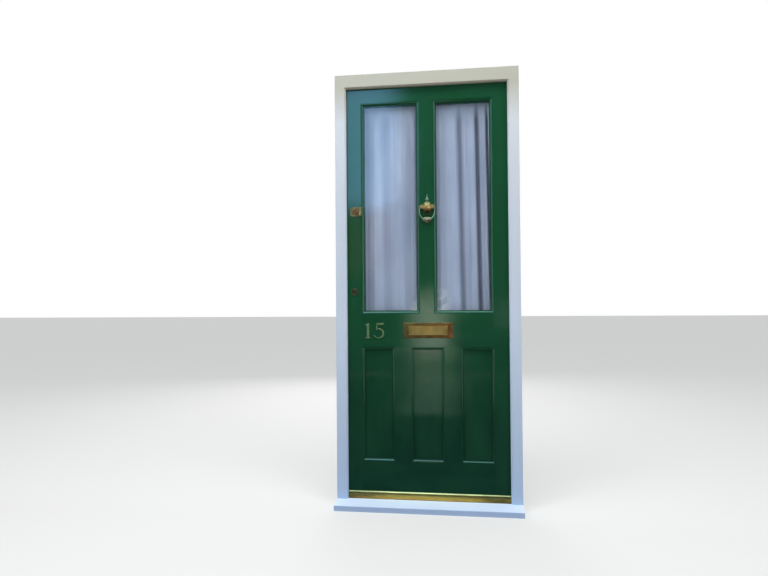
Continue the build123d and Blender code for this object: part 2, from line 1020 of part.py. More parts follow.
def hinge(label, level):
    """One butt hinge: a flap on the leaf, a flap on the frame, and the pin."""
    bottom = level - hinge_height / 2
    segment = hinge_height / 5
    bore = hinge_pin_radius + pin_play
    for owner, plate_x, places, turns in (
        ("leaf", leaf_half - hinge_recess, leaf_hinge_screws, (1, 3)),
        ("frame", rebate_half + hinge_recess - hinge_thick, frame_hinge_screws, (0, 2, 4)),
    ):
        with BuildPart() as flap:
            block(
                (plate_x, plate_x + hinge_thick),
                (frame_depth - hinge_flap_width, frame_depth),
                (bottom, bottom + hinge_height),
            )
            for turn in turns:
                low = bottom + turn * segment + knuckle_gap
                high = bottom + (turn + 1) * segment - knuckle_gap
                block(
                    (plate_x, plate_x + hinge_thick),
                    (frame_depth, hinge_pin_y),
                    (low, high),
                )
                with Locations((hinge_pin_x, hinge_pin_y, (low + high) / 2)):
                    Cylinder(knuckle_radius, high - low)
            with Locations((hinge_pin_x, hinge_pin_y, level)):
                Cylinder(bore, hinge_height + 2, mode=Mode.SUBTRACT)
            near = [place for place in places if abs(place.position.Z - level) < hinge_height]
            cut_screw_holes(near, hinge_screw_length)
        save(flap, f"{label}_{owner}_hinge_flap")

    with BuildPart() as pin:
        with Locations((hinge_pin_x, hinge_pin_y, level)):
            Cylinder(hinge_pin_radius, hinge_height + 2 * pin_tip_height)
        tip = hinge_height / 2 + pin_tip_height / 2
        with Locations(*[(hinge_pin_x, hinge_pin_y, level + k * tip) for k in (-1, 1)]):
            Cylinder(knuckle_radius - 1, pin_tip_height)
        fillet(pin.edges().filter_by(GeomType.CIRCLE).sort_by(Axis.Z)[-1], radius=1)
        fillet(pin.edges().filter_by(GeomType.CIRCLE).sort_by(Axis.Z)[0], radius=1)
    save(pin, f"{label}_hinge_pin")


# Letter plate

def letter_plate():
    """Bevelled plate with a raised rib round its opening, two lugs and two bosses."""
    front = leaf_face - letter_thick
    rib_width = letter_opening_width + 2 * letter_rib
    rib_height = letter_opening_height + 2 * letter_rib
    lug_x = flap_half_width + flap_side_gap + lug_thick / 2
    with BuildPart() as plate:
        with BuildSketch(facing_street(leaf_face)):
            with Locations((0, lock_rail_mid)):
                RectangleRounded(letter_width, letter_height, radius=letter_corner)
        extrude(amount=letter_thick)
        rim = plate.faces().sort_by(Axis.Y)[0].outer_wire().edges()
        chamfer(rim, length=letter_bevel)
        with BuildSketch(facing_street(front)):
            with Locations((0, lock_rail_mid)):
                Rectangle(rib_width, rib_height)
        extrude(amount=letter_rib_height)
        rib = plate.faces().sort_by(Axis.Y)[0].outer_wire().edges()
        chamfer(rib, length=letter_rib_bevel)
        block(
            (-letter_opening_width / 2, letter_opening_width / 2),
            (front - letter_rib_height - overrun, leaf_face + overrun),
            (lock_rail_mid - letter_opening_height / 2, lock_rail_mid + letter_opening_height / 2),
            Mode.SUBTRACT,
        )
        for side in (-1, 1):
            block(
                sorted((side * (lug_x - lug_thick / 2), side * (lug_x + lug_thick / 2))),
                (leaf_face, flap_pivot_y + lug_rise),
                (flap_pivot_z - lug_drop, flap_pivot_z + lug_rise),
            )
        with Locations((0, flap_pivot_y, flap_pivot_z)):
            Cylinder(
                flap_pin_radius + pin_play,
                2 * lug_x + 2 * lug_thick,
                rotation=(0, 90, 0),
                mode=Mode.SUBTRACT,
            )
        boss_length = leaf_thick / 2
        with Locations(*[(k * letter_bolt_x, leaf_face + boss_length / 2, lock_rail_mid) for k in (-1, 1)]):
            Cylinder(letter_boss_radius, boss_length, rotation=(90, 0, 0))
            Cylinder(
                letter_bolt_radius + screw_play, boss_length, rotation=(90, 0, 0), mode=Mode.SUBTRACT
            )
    save(plate, "letter_plate", fitting_offset)


def letter_flap():
    """Inward-opening flap with a rolled top edge and two pins."""
    bottom = lock_rail_mid - letter_opening_height / 2 - letter_lap
    front = flap_pivot_y - flap_barrel_radius
    lug_reach = flap_side_gap + lug_thick
    with BuildPart() as flap:
        block(
            (-flap_half_width, flap_half_width),
            (front, front + letter_flap_thick),
            (bottom, flap_pivot_z),
        )
        with Locations((0, flap_pivot_y, flap_pivot_z)):
            Cylinder(flap_barrel_radius, 2 * flap_half_width, rotation=(0, 90, 0))
            Cylinder(flap_pin_radius, 2 * (flap_half_width + lug_reach), rotation=(0, 90, 0))
    save(flap, "letter_flap", fitting_offset)


def inner_letter_frame():
    """Plain frame inside the leaf with two ears, and the flap that hangs from them."""
    back = frame_depth + inner_frame_thick
    hole_x = slot_half_width - inner_frame_lap
    hole_z = slot_half_height - inner_frame_lap
    ear_x = slot_half_width + inner_frame_lap
    pin_y = back + ear_pin_rise
    with BuildPart() as frame:
        block(
            (-letter_width / 2, letter_width / 2),
            (frame_depth, back),
            (lock_rail_mid - inner_frame_half_height, lock_rail_mid + inner_frame_half_height),
        )
        block(
            (-hole_x, hole_x),
            (frame_depth - overrun, back + overrun),
            (lock_rail_mid - hole_z, lock_rail_mid + hole_z),
            Mode.SUBTRACT,
        )
        for side in (-1, 1):
            block(
                sorted((side * ear_x, side * (ear_x + ear_thick))),
                (back, pin_y + ear_pin_rise),
                (inner_pivot_z - ear_half_height, inner_pivot_z + ear_half_height),
            )
        with Locations((0, pin_y, inner_pivot_z)):
            Cylinder(
                flap_pin_radius + pin_play,
                2 * (ear_x + ear_thick + overrun),
                rotation=(0, 90, 0),
                mode=Mode.SUBTRACT,
            )
        with Locations(*[(k * letter_bolt_x, frame_depth, lock_rail_mid) for k in (-1, 1)]):
            Cylinder(
                letter_bolt_radius + screw_play,
                4 * inner_frame_thick,
                rotation=(90, 0, 0),
                mode=Mode.SUBTRACT,
            )
    save(frame, "inner_letter_frame", fitting_offset)

    flap_x = ear_x - flap_side_gap
    flap_foot = lock_rail_mid - slot_half_height
    with BuildPart() as flap:
        block(
            (-flap_x, flap_x),
            (back + flap_side_gap, back + flap_side_gap + inner_flap_thick),
            (flap_foot, inner_pivot_z),
        )
        with Locations((0, pin_y, inner_pivot_z)):
            Cylinder(inner_barrel_radius, 2 * flap_x, rotation=(0, 90, 0))
            Cylinder(flap_pin_radius, 2 * (ear_x + ear_thick), rotation=(0, 90, 0))
    save(flap, "inner_letter_flap", fitting_offset)


def through_bolts():
    """The two bolts of the letter plate and the one of the knocker."""
    back = frame_depth + inner_frame_thick
    letter_tip = leaf_face + letter_bolt_tip
    letter_reach = back - letter_tip
    knocker_tip = leaf_face - knocker_bolt_tip
    knocker_reach = frame_depth - knocker_tip
    with BuildPart() as bolts:
        with Locations(*[(k * letter_bolt_x, letter_tip + letter_reach / 2, lock_rail_mid) for k in (-1, 1)]):
            Cylinder(letter_bolt_radius, letter_reach, rotation=(90, 0, 0))
        with Locations(*[(k * letter_bolt_x, back + bolt_head_thick / 2, lock_rail_mid) for k in (-1, 1)]):
            Cylinder(letter_bolt_head, bolt_head_thick, rotation=(90, 0, 0))
        with Locations((0, knocker_tip + knocker_reach / 2, knocker_z)):
            Cylinder(knocker_bolt_radius, knocker_reach, rotation=(90, 0, 0))
        with Locations((0, frame_depth + knocker_nut_thick / 2, knocker_z)):
            Cylinder(2 * knocker_bolt_radius, knocker_nut_thick, rotation=(90, 0, 0))
    save(bolts, "through_bolts", fitting_offset)


# Knocker

def urn_outline(points):
    """Radius and height pairs as places in the plane square to the door."""
    return [(leaf_face - radius, knocker_z + height) for radius, height in points]


def shoulder_outline():
    """Outline of the bar that carries the ring: straight below, crowned above."""
    low = knocker_z - shoulder_drop
    high = knocker_z + shoulder_rise
    Line((-shoulder_half, low), (shoulder_half, low))
    Line((shoulder_half, low), (shoulder_half, high))
    ThreePointArc((shoulder_half, high), (0, high + shoulder_crown), (-shoulder_half, high))
    Line((-shoulder_half, high), (-shoulder_half, low))


def knocker_urn():
    """Half urn on the door's face, with a spire and wide shoulders for the ring."""
    spire = urn_outline(urn_spire)
    neck = urn_outline(urn_neck)
    cover = urn_outline(urn_cover)
    bowl = urn_outline(urn_bowl)
    foot = urn_outline(urn_foot)
    top = (leaf_face, spire[0][1])
    with BuildPart() as urn:
        with BuildSketch(Plane.YZ):
            with BuildLine():
                Line(top, spire[0])
                ThreePointArc(*spire)
                Polyline(spire[-1], *neck)
                ThreePointArc(*cover)
                Polyline(cover[-1], *urn_outline([urn_waist]), bowl[0])
                ThreePointArc(*bowl)
                Polyline(bowl[-1], *foot, top)
            make_face()
        revolve(axis=Axis((0, leaf_face, 0), (0, 0, 1)), revolution_arc=360)
        block(
            (-2 * shoulder_half, 2 * shoulder_half),
            (leaf_face, leaf_face + shoulder_half),
            (foot[-1][1] - overrun, top[1] + overrun),
            Mode.SUBTRACT,
        )
        with BuildSketch(facing_street(leaf_face)):
            with BuildLine():
                shoulder_outline()
            make_face()
        extrude(amount=shoulder_depth)
        with Locations((0, ring_y, knocker_z)):
            Cylinder(
                ring_pin_radius + pin_play, 4 * shoulder_half, rotation=(0, 90, 0), mode=Mode.SUBTRACT
            )
        with Locations((0, leaf_face, knocker_z)):
            Cylinder(
                knocker_bolt_radius + screw_play,
                2 * (knocker_bolt_tip + overrun),
                rotation=(90, 0, 0),
                mode=Mode.SUBTRACT,
            )
    save(urn, "knocker_urn", fitting_offset)

    stud_face = ring_y + boss_radius + latch_play
    with BuildPart() as stud:
        with Locations((0, (leaf_face + stud_face) / 2, knocker_z - ring_drop)):
            Cylinder(stud_radius, leaf_face - stud_face, rotation=(90, 0, 0))
    save(stud, "knocker_stud", fitting_offset)


def ring_curve():
    """One side of the ring: a straight limb, then two arcs that meet in one direction."""
    level = knocker_z - ring_straight
    drop = ring_drop - ring_straight
    base_radius = ring_half * ring_roundness
    rise = drop - base_radius
    side_radius = (ring_half**2 + drop**2 - 2 * drop * base_radius) / (2 * (ring_half - base_radius))
    turn = atan2(rise, side_radius - ring_half)

    def on_arc(centre_x, centre_z, radius, angle):
        return (centre_x + radius * cos(angle), centre_z - radius * sin(angle))

    side = [on_arc(ring_half - side_radius, level, side_radius, angle) for angle in (turn / 2, turn)]
    base = [on_arc(0, level - rise, base_radius, angle) for angle in ((turn + pi / 2) / 2, pi / 2)]
    Line((ring_half, knocker_z), (ring_half, level))
    ThreePointArc((ring_half, level), *side)
    ThreePointArc(side[-1], *base)


def knocker_ring():
    """Stirrup-shaped ring that hangs from the shoulders, with a heavy drop-shaped boss."""
    boss = [(ring_y - radius, knocker_z - ring_drop + height) for radius, height in boss_outline]
    with BuildPart() as ring:
        with BuildLine(facing_street(ring_y)):
            ring_curve()
        with BuildSketch(Plane(origin=(ring_half, ring_y, knocker_z), z_dir=(0, 0, -1))):
            Circle(ring_wire)
        sweep()
        with Locations((ring_half, ring_y, knocker_z)):
            Sphere(ring_wire)
        mirror(about=Plane.YZ)
        with BuildSketch(Plane.YZ):
            with BuildLine():
                Polyline(*boss, close=True)
            make_face()
        revolve(axis=Axis((0, ring_y, 0), (0, 0, 1)), revolution_arc=360)
        for side in (-1, 1):
            with Locations((side * (ring_half - ring_pin_length / 2), ring_y, knocker_z)):
                Cylinder(ring_pin_radius, ring_pin_length, rotation=(0, 90, 0))
    save(ring, "knocker_ring", fitting_offset)


# Nightlatch

def cylinder_pull():
    """Plate behind the cylinder, with a hooked grip for the fingers."""
    left = -leaf_half + pull_left_inset
    right = left + pull_width
    front = leaf_face - pull_thick
    grip_x = right - pull_grip_reach - pull_grip_wall
    grip_y = front - pull_grip_reach
    grip_end = right - pull_grip_inset
    low = latch_z - pull_height / 2
    with BuildPart() as pull:
        with BuildSketch(facing_street(leaf_face)) as plate:
            with Locations(((left + right) / 2, latch_z)):
                Rectangle(pull_width, pull_height)
            fillet(plate.vertices().group_by(Axis.X)[0], radius=pull_corner)
            fillet(plate.vertices().group_by(Axis.X)[-1], radius=pull_right_corner)
        extrude(amount=pull_thick)
        with BuildSketch(Plane.XY.offset(low + pull_grip_inset)):
            with BuildLine():
                Polyline(
                    (grip_x, front),
                    (grip_x, grip_y + pull_grip_wall),
                    (grip_x + pull_grip_wall, grip_y),
                    (grip_end, grip_y),
                    (grip_end, grip_y + pull_grip_wall),
                    (grip_x + pull_grip_wall + pull_grip_inset, grip_y + pull_grip_wall),
                    (grip_x + pull_grip_wall, grip_y + pull_grip_wall + pull_grip_inset),
                    (grip_x + pull_grip_wall, front),
                    close=True,
                )
            make_face()
        extrude(amount=pull_height - 2 * pull_grip_inset)
        with Locations((latch_x, leaf_face, latch_z)):
            Cylinder(
                cylinder_barrel_radius + latch_play,
                4 * pull_thick,
                rotation=(90, 0, 0),
                mode=Mode.SUBTRACT,
            )
    save(pull, "cylinder_pull")


def rim_cylinder():
    """Cylinder through the stile, and the plug that turns in it."""
    tail_end = frame_depth + tail_reach
    with BuildPart() as body:
        with BuildSketch(facing_street(leaf_face - pull_thick)):
            with Locations((latch_x, latch_z)):
                Circle(cylinder_radius)
        extrude(amount=cylinder_proud - pull_thick)
        rim = body.edges().filter_by(GeomType.CIRCLE).sort_by(Axis.Y)[0]
        chamfer(rim, length=cylinder_bevel)
        with BuildSketch(facing_street(frame_depth)):
            with Locations((latch_x, latch_z)):
                Circle(cylinder_barrel_radius)
        extrude(amount=leaf_thick + pull_thick)
        with Locations((latch_x, leaf_mid, latch_z)):
            Cylinder(
                plug_radius + pin_play,
                2 * leaf_thick,
                rotation=(90, 0, 0),
                mode=Mode.SUBTRACT,
            )
    save(body, "rim_cylinder")

    front = leaf_face - cylinder_proud - plug_proud
    with BuildPart() as plug:
        with BuildSketch(facing_street(frame_depth)):
            with Locations((latch_x, latch_z)):
                Circle(plug_radius)
        extrude(amount=frame_depth - front)
        block(
            (latch_x - key_slot_width / 2, latch_x + key_slot_width / 2),
            (front - overrun, front + leaf_thick / 2),
            (latch_z - key_slot_height / 2, latch_z + key_slot_height / 2),
            Mode.SUBTRACT,
        )
        block(
            (latch_x - tail_thick / 2, latch_x + tail_thick / 2),
            (frame_depth, tail_end),
            (latch_z - tail_height / 2, latch_z + tail_height / 2),
        )
    save(plug, "cylinder_plug")


def nightlatch():
    """Hollow case on the inside of the leaf, with bolt, turn knob and snib."""
    left = -leaf_half
    right = left + case_width
    back = frame_depth + case_depth
    z_span = (latch_z - case_height / 2, latch_z + case_height / 2)
    bolt_mid = frame_depth + case_depth / 2
    bolt_z = latch_bolt_height / 2
    bolt_y = latch_bolt_thick / 2
    snib_x = left + case_width / 3
    snib_z = latch_z + bolt_z + snib_stem
    with BuildPart() as case:
        block((left, right), (frame_depth, back), z_span)
        outer = case.edges().filter_by(Axis.Y) + case.edges().group_by(Axis.Y)[-1]
        fillet(outer, radius=case_round)
        block(
            (left + case_wall, right - case_wall),
            (frame_depth - overrun, back - case_wall),
            (z_span[0] + case_wall, z_span[1] - case_wall),
            Mode.SUBTRACT,
        )
        block(
            (left - overrun, left + case_wall + overrun),
            (bolt_mid - bolt_y - latch_play, bolt_mid + bolt_y + latch_play),
            (latch_z - bolt_z - latch_play, latch_z + bolt_z + latch_play),
            Mode.SUBTRACT,
        )
        with Locations((latch_x, back, latch_z)):
            Cylinder(spindle_radius + pin_play, 4 * case_wall, rotation=(90, 0, 0), mode=Mode.SUBTRACT)
        block(
            (snib_x - snib_stem / 2 - lock_play, snib_x + snib_stem / 2 + lock_play),
            (back - case_wall - overrun, back + overrun),
            (snib_z - snib_stem / 2 - lock_play, snib_z + snib_stem / 2 + snib_travel + lock_play),
            Mode.SUBTRACT,
        )
    save(case, "nightlatch_case")

    nose = left + latch_play
    with BuildPart() as bolt:
        with BuildSketch(Plane.XY.offset(latch_z - bolt_z)):
            with BuildLine():
                Polyline(
                    (nose, bolt_mid - bolt_y),
                    (nose + latch_bolt_length, bolt_mid - bolt_y),
                    (nose + latch_bolt_length, bolt_mid + bolt_y),
                    (nose + latch_travel, bolt_mid + bolt_y),
                    (nose, bolt_mid - bolt_y + latch_bolt_nose),
                    close=True,
                )
            make_face()
        extrude(amount=latch_bolt_height)
    save(bolt, "latch_bolt")

    with BuildPart() as knob:
        with BuildSketch(facing_street(back + latch_play)):
            with Locations((latch_x, latch_z)):
                Ellipse(knob_radius, knob_radius * knob_flatness)
        extrude(amount=-knob_depth)
        fillet(knob.edges().sort_by(Axis.Y)[-1], radius=knob_round)
        spindle = (frame_depth + tail_reach + latch_play, back + latch_play + knob_round)
        with Locations((latch_x, sum(spindle) / 2, latch_z)):
            Cylinder(spindle_radius, spindle[1] - spindle[0], rotation=(90, 0, 0))
    save(knob, "latch_knob")

    with BuildPart() as snib:
        block(
            (snib_x - snib_stem / 2, snib_x + snib_stem / 2),
            (back - case_wall - snib_reach, back + snib_head_rise / 2),
            (snib_z - snib_stem / 2, snib_z + snib_stem / 2),
        )
        block(
            (snib_x - snib_head / 2, snib_x + snib_head / 2),
            (back + latch_play, back + snib_head_rise),
            (snib_z - snib_stem / 2, snib_z + snib_stem / 2),
        )
    save(snib, "latch_snib")

    with BuildPart() as keep:
        edge = -rebate_half
        block((edge - keep_width, edge), (frame_depth, back), z_span)
        fillet(keep.edges().group_by(Axis.Y)[-1], radius=case_round)
        block(
            (edge - keep_width - keep_flange, edge - keep_width + overrun),
            (frame_depth, frame_depth + keep_wall),
            (z_span[0] + keep_wall, z_span[1] - keep_wall),
        )
        block(
            (edge - keep_width + keep_wall, edge + overrun),
            (frame_depth + keep_wall, back - keep_wall),
            (z_span[0] + keep_wall, z_span[1] - keep_wall),
            Mode.SUBTRACT,
        )
        cut_screw_holes(keep_screws, light_screw_length)
    save(keep, "latch_keep")


# Deadlock

def deadlock():
    """Case in the lock stile with its forend, the bolt, strike and escutcheons."""
    edge = -leaf_half
    inner = edge + forend_thick
    y_bolt = deadbolt_thick / 2 + lock_play
    z_bolt = deadbolt_height / 2 + lock_play
    with BuildPart() as case:
        block(
            (edge, inner),
            (leaf_mid - forend_width / 2, leaf_mid + forend_width / 2),
            (deadlock_z - forend_height / 2, deadlock_z + forend_height / 2),
        )
        block(
            (inner, inner + deadlock_case_depth),
            (leaf_mid - deadlock_case_thick / 2, leaf_mid + deadlock_case_thick / 2),
            (deadlock_z - deadlock_case_height / 2, deadlock_z + deadlock_case_height / 2),
        )
        block(
            (edge - overrun, inner + deadlock_case_depth - deadlock_case_wall),
            (leaf_mid - y_bolt, leaf_mid + y_bolt),
            (deadlock_z - z_bolt, deadlock_z + z_bolt),
            Mode.SUBTRACT,
        )
        cut_keyhole((leaf_face, frame_depth))
        cut_screw_holes(forend_screws, light_screw_length)
    save(case, "deadlock_case")

    with BuildPart() as bolt:
        block(
            (edge + lock_play, edge + lock_play + deadbolt_length),
            (leaf_mid - deadbolt_thick / 2, leaf_mid + deadbolt_thick / 2),
            (deadlock_z - deadbolt_height / 2, deadlock_z + deadbolt_height / 2),
        )
    save(bolt, "deadbolt")

    with BuildPart() as strike:
        block(
            (-rebate_half - strike_thick, -rebate_half),
            (leaf_mid - forend_width / 2, leaf_mid + forend_width / 2),
            (deadlock_z - strike_height / 2, deadlock_z + strike_height / 2),
        )
        block(
            (-rebate_half - strike_thick - overrun, -rebate_half + overrun),
            (leaf_mid - deadbolt_thick / 2 - strike_play, leaf_mid + deadbolt_thick / 2 + strike_play),
            (deadlock_z - deadbolt_height / 2 - strike_play, deadlock_z + deadbolt_height / 2 + strike_play),
            Mode.SUBTRACT,
        )
        cut_screw_holes(strike_screws, light_screw_length)
    save(strike, "deadlock_strike")

    for label, base in (("outer_escutcheon", leaf_face), ("inner_escutcheon", frame_depth)):
        outward = -1 if base == leaf_face else 1
        with BuildPart() as shield:
            with BuildSketch(facing_street(base)):
                with Locations((keyhole_x, deadlock_z - keyhole_drop / 3)):
                    Ellipse(escutcheon_width / 2, escutcheon_height / 2)
            extrude(amount=-outward * escutcheon_thick)
            rims = shield.edges().sort_by(Axis.Y)
            chamfer(rims[0] if outward < 0 else rims[-1], length=escutcheon_bevel)
            cut_keyhole(tuple(sorted((base - outward, base + outward * 2 * escutcheon_thick))))
        save(shield, label)


# Net curtains

def net_curtain(label, rod_span, net_span, phase):
    """A gathered net on its rod: a casing round the rod and folds below it."""
    casing = rod_radius + net_play + net_thick
    count = round((net_span[1] - net_span[0]) / (net_fold_width / 2))
    points = []
    for i in range(count + 1):
        x = net_span[0] + (net_span[1] - net_span[0]) * i / count
        swell = net_wave * (0.75 + 0.25 * sin(phase + 1.9 * i))
        points.append((x, rod_y + (swell if i % 2 else -swell)))
    shifted = [(x, y + net_thick) for x, y in points]
    with BuildPart() as net:
        with BuildSketch(Plane.XY.offset(net_bottom)):
            with BuildLine():
                Spline(*points)
                Line(points[-1], shifted[-1])
                Spline(*shifted[::-1])
                Line(shifted[0], points[0])
            make_face()
        extrude(amount=rod_z - net_bottom)
        with BuildSketch(Plane.YZ.offset(net_span[0])):
            with Locations((rod_y, rod_z)):
                Circle(casing)
        extrude(amount=net_span[1] - net_span[0])
        with Locations(((net_span[0] + net_span[1]) / 2, rod_y, rod_z)):
            Cylinder(
                rod_radius + net_play,
                net_span[1] - net_span[0] + 4 * net_wave,
                rotation=(0, 90, 0),
                mode=Mode.SUBTRACT,
            )
    save(net, f"{label}_net")

    with BuildPart() as rod:
        with Locations(((rod_span[0] + rod_span[1]) / 2, rod_y, rod_z)):
            Cylinder(rod_radius, rod_span[1] - rod_span[0], rotation=(0, 90, 0))
    save(rod, f"{label}_net_rod")


def rod_brackets(rod_spans):
    """Four brackets screwed to the top rail, each with an eye for a rod end."""
    with BuildPart() as brackets:
        for low, high in rod_spans:
            for x in (low, high - bracket_width):
                block(
                    (x, x + bracket_width),
                    (frame_depth, frame_depth + bracket_plate),
                    (rod_z - bracket_height / 4, rod_z + bracket_height * 3 / 4),
                )
                block(
                    (x, x + bracket_width),
                    (frame_depth, rod_y),
                    (rod_z - rod_radius - bracket_wall, rod_z + rod_radius + bracket_wall),
                )
                with Locations((x + bracket_width / 2, rod_y, rod_z)):
                    Cylinder(rod_radius + bracket_wall, bracket_width, rotation=(0, 90, 0))
        for low, high in rod_spans:
            with Locations(((low + high) / 2, rod_y, rod_z)):
                Cylinder(
                    rod_radius + pin_play, high - low + 2 * overrun, rotation=(0, 90, 0), mode=Mode.SUBTRACT
                )
    save(brackets, "rod_brackets")


def build_nets():
    """The two rods, their brackets and the nets."""
    outer = stile_edge + bracket_inset
    inner = glazing_muntin_flat / 2 - sight
    rod_spans = [(-outer, -inner), (inner, outer)]
    rod_brackets(rod_spans)
    for label, span, phase in zip(("left", "right"), rod_spans, (0.4, 1.7)):
        low = span[0] + bracket_width + net_end_gap
        high = span[1] - bracket_width - net_end_gap
        net_curtain(label, span, (low, high), phase)


def build_screws():
    """Screws of the frame and screws of the leaf, one group each."""
    with BuildPart() as frame_group:
        add_screws(frame_hinge_screws, hinge_screw_length)
        add_screws(strike_screws + keep_screws + strip_screws, light_screw_length)
    save(frame_group, "frame_screws")
    with BuildPart() as leaf_group:
        add_screws(leaf_hinge_screws, hinge_screw_length)
        add_screws(forend_screws, light_screw_length)
    save(leaf_group, "leaf_screws")


def build_furniture():
    """Everything of metal."""
    for label, level in zip(("bottom", "middle", "top"), hinge_levels):
        hinge(label, level)
    letter_plate()
    letter_flap()
    inner_letter_frame()
    through_bolts()
    knocker_urn()
    knocker_ring()
    cylinder_pull()
    rim_cylinder()
    nightlatch()
    deadlock()
    build_screws()


os.makedirs("parts", exist_ok=True)
build_frame()
build_leaf_timber()
build_furniture()
build_nets()
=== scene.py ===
import math
import bmesh
import bpy
from mathutils import Matrix, Vector, noise


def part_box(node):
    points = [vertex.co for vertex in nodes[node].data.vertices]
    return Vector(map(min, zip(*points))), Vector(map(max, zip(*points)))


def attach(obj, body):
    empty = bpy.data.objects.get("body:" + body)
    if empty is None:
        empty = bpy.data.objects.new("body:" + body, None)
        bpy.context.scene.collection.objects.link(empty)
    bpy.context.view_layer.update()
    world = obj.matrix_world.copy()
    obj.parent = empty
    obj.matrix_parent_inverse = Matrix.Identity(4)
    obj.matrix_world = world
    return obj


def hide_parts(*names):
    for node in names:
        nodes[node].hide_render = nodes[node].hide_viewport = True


# Panelled front door in its frame. Metres. X runs across the doorway, seen from
# outside, Y runs inwards and Z is up, as in the model that this script dresses.

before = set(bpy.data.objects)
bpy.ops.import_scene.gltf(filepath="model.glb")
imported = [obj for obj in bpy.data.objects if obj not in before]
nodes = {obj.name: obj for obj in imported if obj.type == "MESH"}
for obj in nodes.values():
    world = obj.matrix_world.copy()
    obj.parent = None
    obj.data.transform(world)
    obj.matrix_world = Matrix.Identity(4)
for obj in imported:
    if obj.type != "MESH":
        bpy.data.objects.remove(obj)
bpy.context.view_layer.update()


def tint(red, green, blue):
    # A colour as a screen shows it, 0 to 255, made linear
    shares = [value / 255 for value in (red, green, blue)]
    linear = [c / 12.92 if c <= 0.04045 else ((c + 0.055) / 1.055) ** 2.4 for c in shares]
    return (*linear, 1)


def startMaterial(name, **sockets):
    material = bpy.data.materials.new(name)
    material.use_nodes = True
    shader = material.node_tree.nodes["Principled BSDF"]
    for socket, value in sockets.items():
        shader.inputs[socket.replace("_", " ")].default_value = value
    return material


def addNode(owner, kind, inputs=None, **settings):
    # The owner is a material or the world, and an input is a number or another node's output
    tree = owner.node_tree
    node = tree.nodes.new("ShaderNode" + kind)
    for key, value in settings.items():
        setattr(node, key, value)
    for key, value in (inputs or {}).items():
        if isinstance(value, bpy.types.NodeSocket):
            tree.links.new(value, node.inputs[key])
        else:
            node.inputs[key].default_value = value
    return node


def feed(material, socket, value):
    shader = material.node_tree.nodes["Principled BSDF"]
    material.node_tree.links.new(value, shader.inputs[socket])


def calculate(owner, operation, *values):
    return addNode(owner, "Math", dict(enumerate(values)), operation=operation).outputs[0]


def spread(material, value, ends, low=0.0, high=1.0, **settings):
    # Runs from low to high while the value runs between its two ends
    inputs = {
        "Value": value, "From Min": ends[0], "From Max": ends[1], "To Min": low, "To Max": high,
    }
    return addNode(material, "MapRange", inputs, **settings).outputs["Result"]


noiseEnds = (0.3, 0.7)  # nearly all of a noise lies between these


def fromNoise(material, pattern, low, high):
    return spread(material, pattern, noiseEnds, low, high)


def stretchedNoise(material, stretch, scale, detail, roughness=0.5):
    # Noise on object coordinates, drawn out along the axis whose stretch is small
    coords = addNode(material, "TexCoord").outputs["Object"]
    mapped = addNode(material, "Mapping", {"Vector": coords, "Scale": stretch}).outputs["Vector"]
    inputs = {"Vector": mapped, "Scale": scale, "Detail": detail, "Roughness": roughness}
    return addNode(material, "TexNoise", inputs).outputs["Fac"]


def placeAlong(material, axis):
    coords = addNode(material, "TexCoord").outputs["Object"]
    return addNode(material, "SeparateXYZ", {"Vector": coords}).outputs[axis]


def sway(material, value, pattern, amount):
    # The value, moved either way by up to half the amount
    shift = calculate(material, "MULTIPLY_ADD", pattern, amount, -amount / 2)
    return calculate(material, "ADD", value, shift)


def mixColours(material, share, first, second, blend="MIX"):
    inputs = {0: share, 6: first, 7: second}
    mix = addNode(material, "Mix", inputs, data_type="RGBA", blend_type=blend)
    return mix.outputs[2]


def addRamp(material, value, stops):
    # Each stop is a share from 0 to 1 and its shade
    ramp = addNode(material, "ValToRGB", {"Fac": value})
    elements = ramp.color_ramp.elements
    for i, (share, shade) in enumerate(stops):
        stop = elements[i] if i < 2 else elements.new(share)
        stop.position = share
        stop.color = tint(*shade)
    return ramp.outputs["Color"]


def blendShades(material, pattern, first, second, ends=(0.35, 0.65)):
    return addRamp(material, pattern, zip(ends, (first, second)))


def shadesAlong(material, value, ends, stops):
    # Colour by place. Each stop is a place between the ends and its shade.
    low, high = ends
    shares = [((place - low) / (high - low), shade) for place, shade in stops]
    return addRamp(material, spread(material, value, ends), shares)


def addBump(material, height, strength, distance, before=None):
    inputs = {"Height": height, "Strength": strength, "Distance": distance}
    if before is not None:
        inputs["Normal"] = before
    return addNode(material, "Bump", inputs).outputs["Normal"]


# Paint, brushed along the grain of each member

brushStretch = {"X": (0.02, 1, 1), "Z": (1, 1, 0.02)}
lapStretch = {"X": (0.35, 1, 1), "Z": (1, 1, 0.35)}

greenPaint = {
    # the lower shade and its fade up the door are painted shade
    "upper": (23, 70, 45), "lower": (14, 47, 37), "fade": (0.15, 1.15),
    "thin": (32, 84, 56), "thinShare": 0.3,
    "roughness": (0.045, 0.11), "specular": 0.45,
    "brushScale": 420, "brushStrength": 0.6, "brushDepth": 0.00022,
    "lapScale": 9, "lapStrength": 0.5, "lapDepth": 0.0009,
}


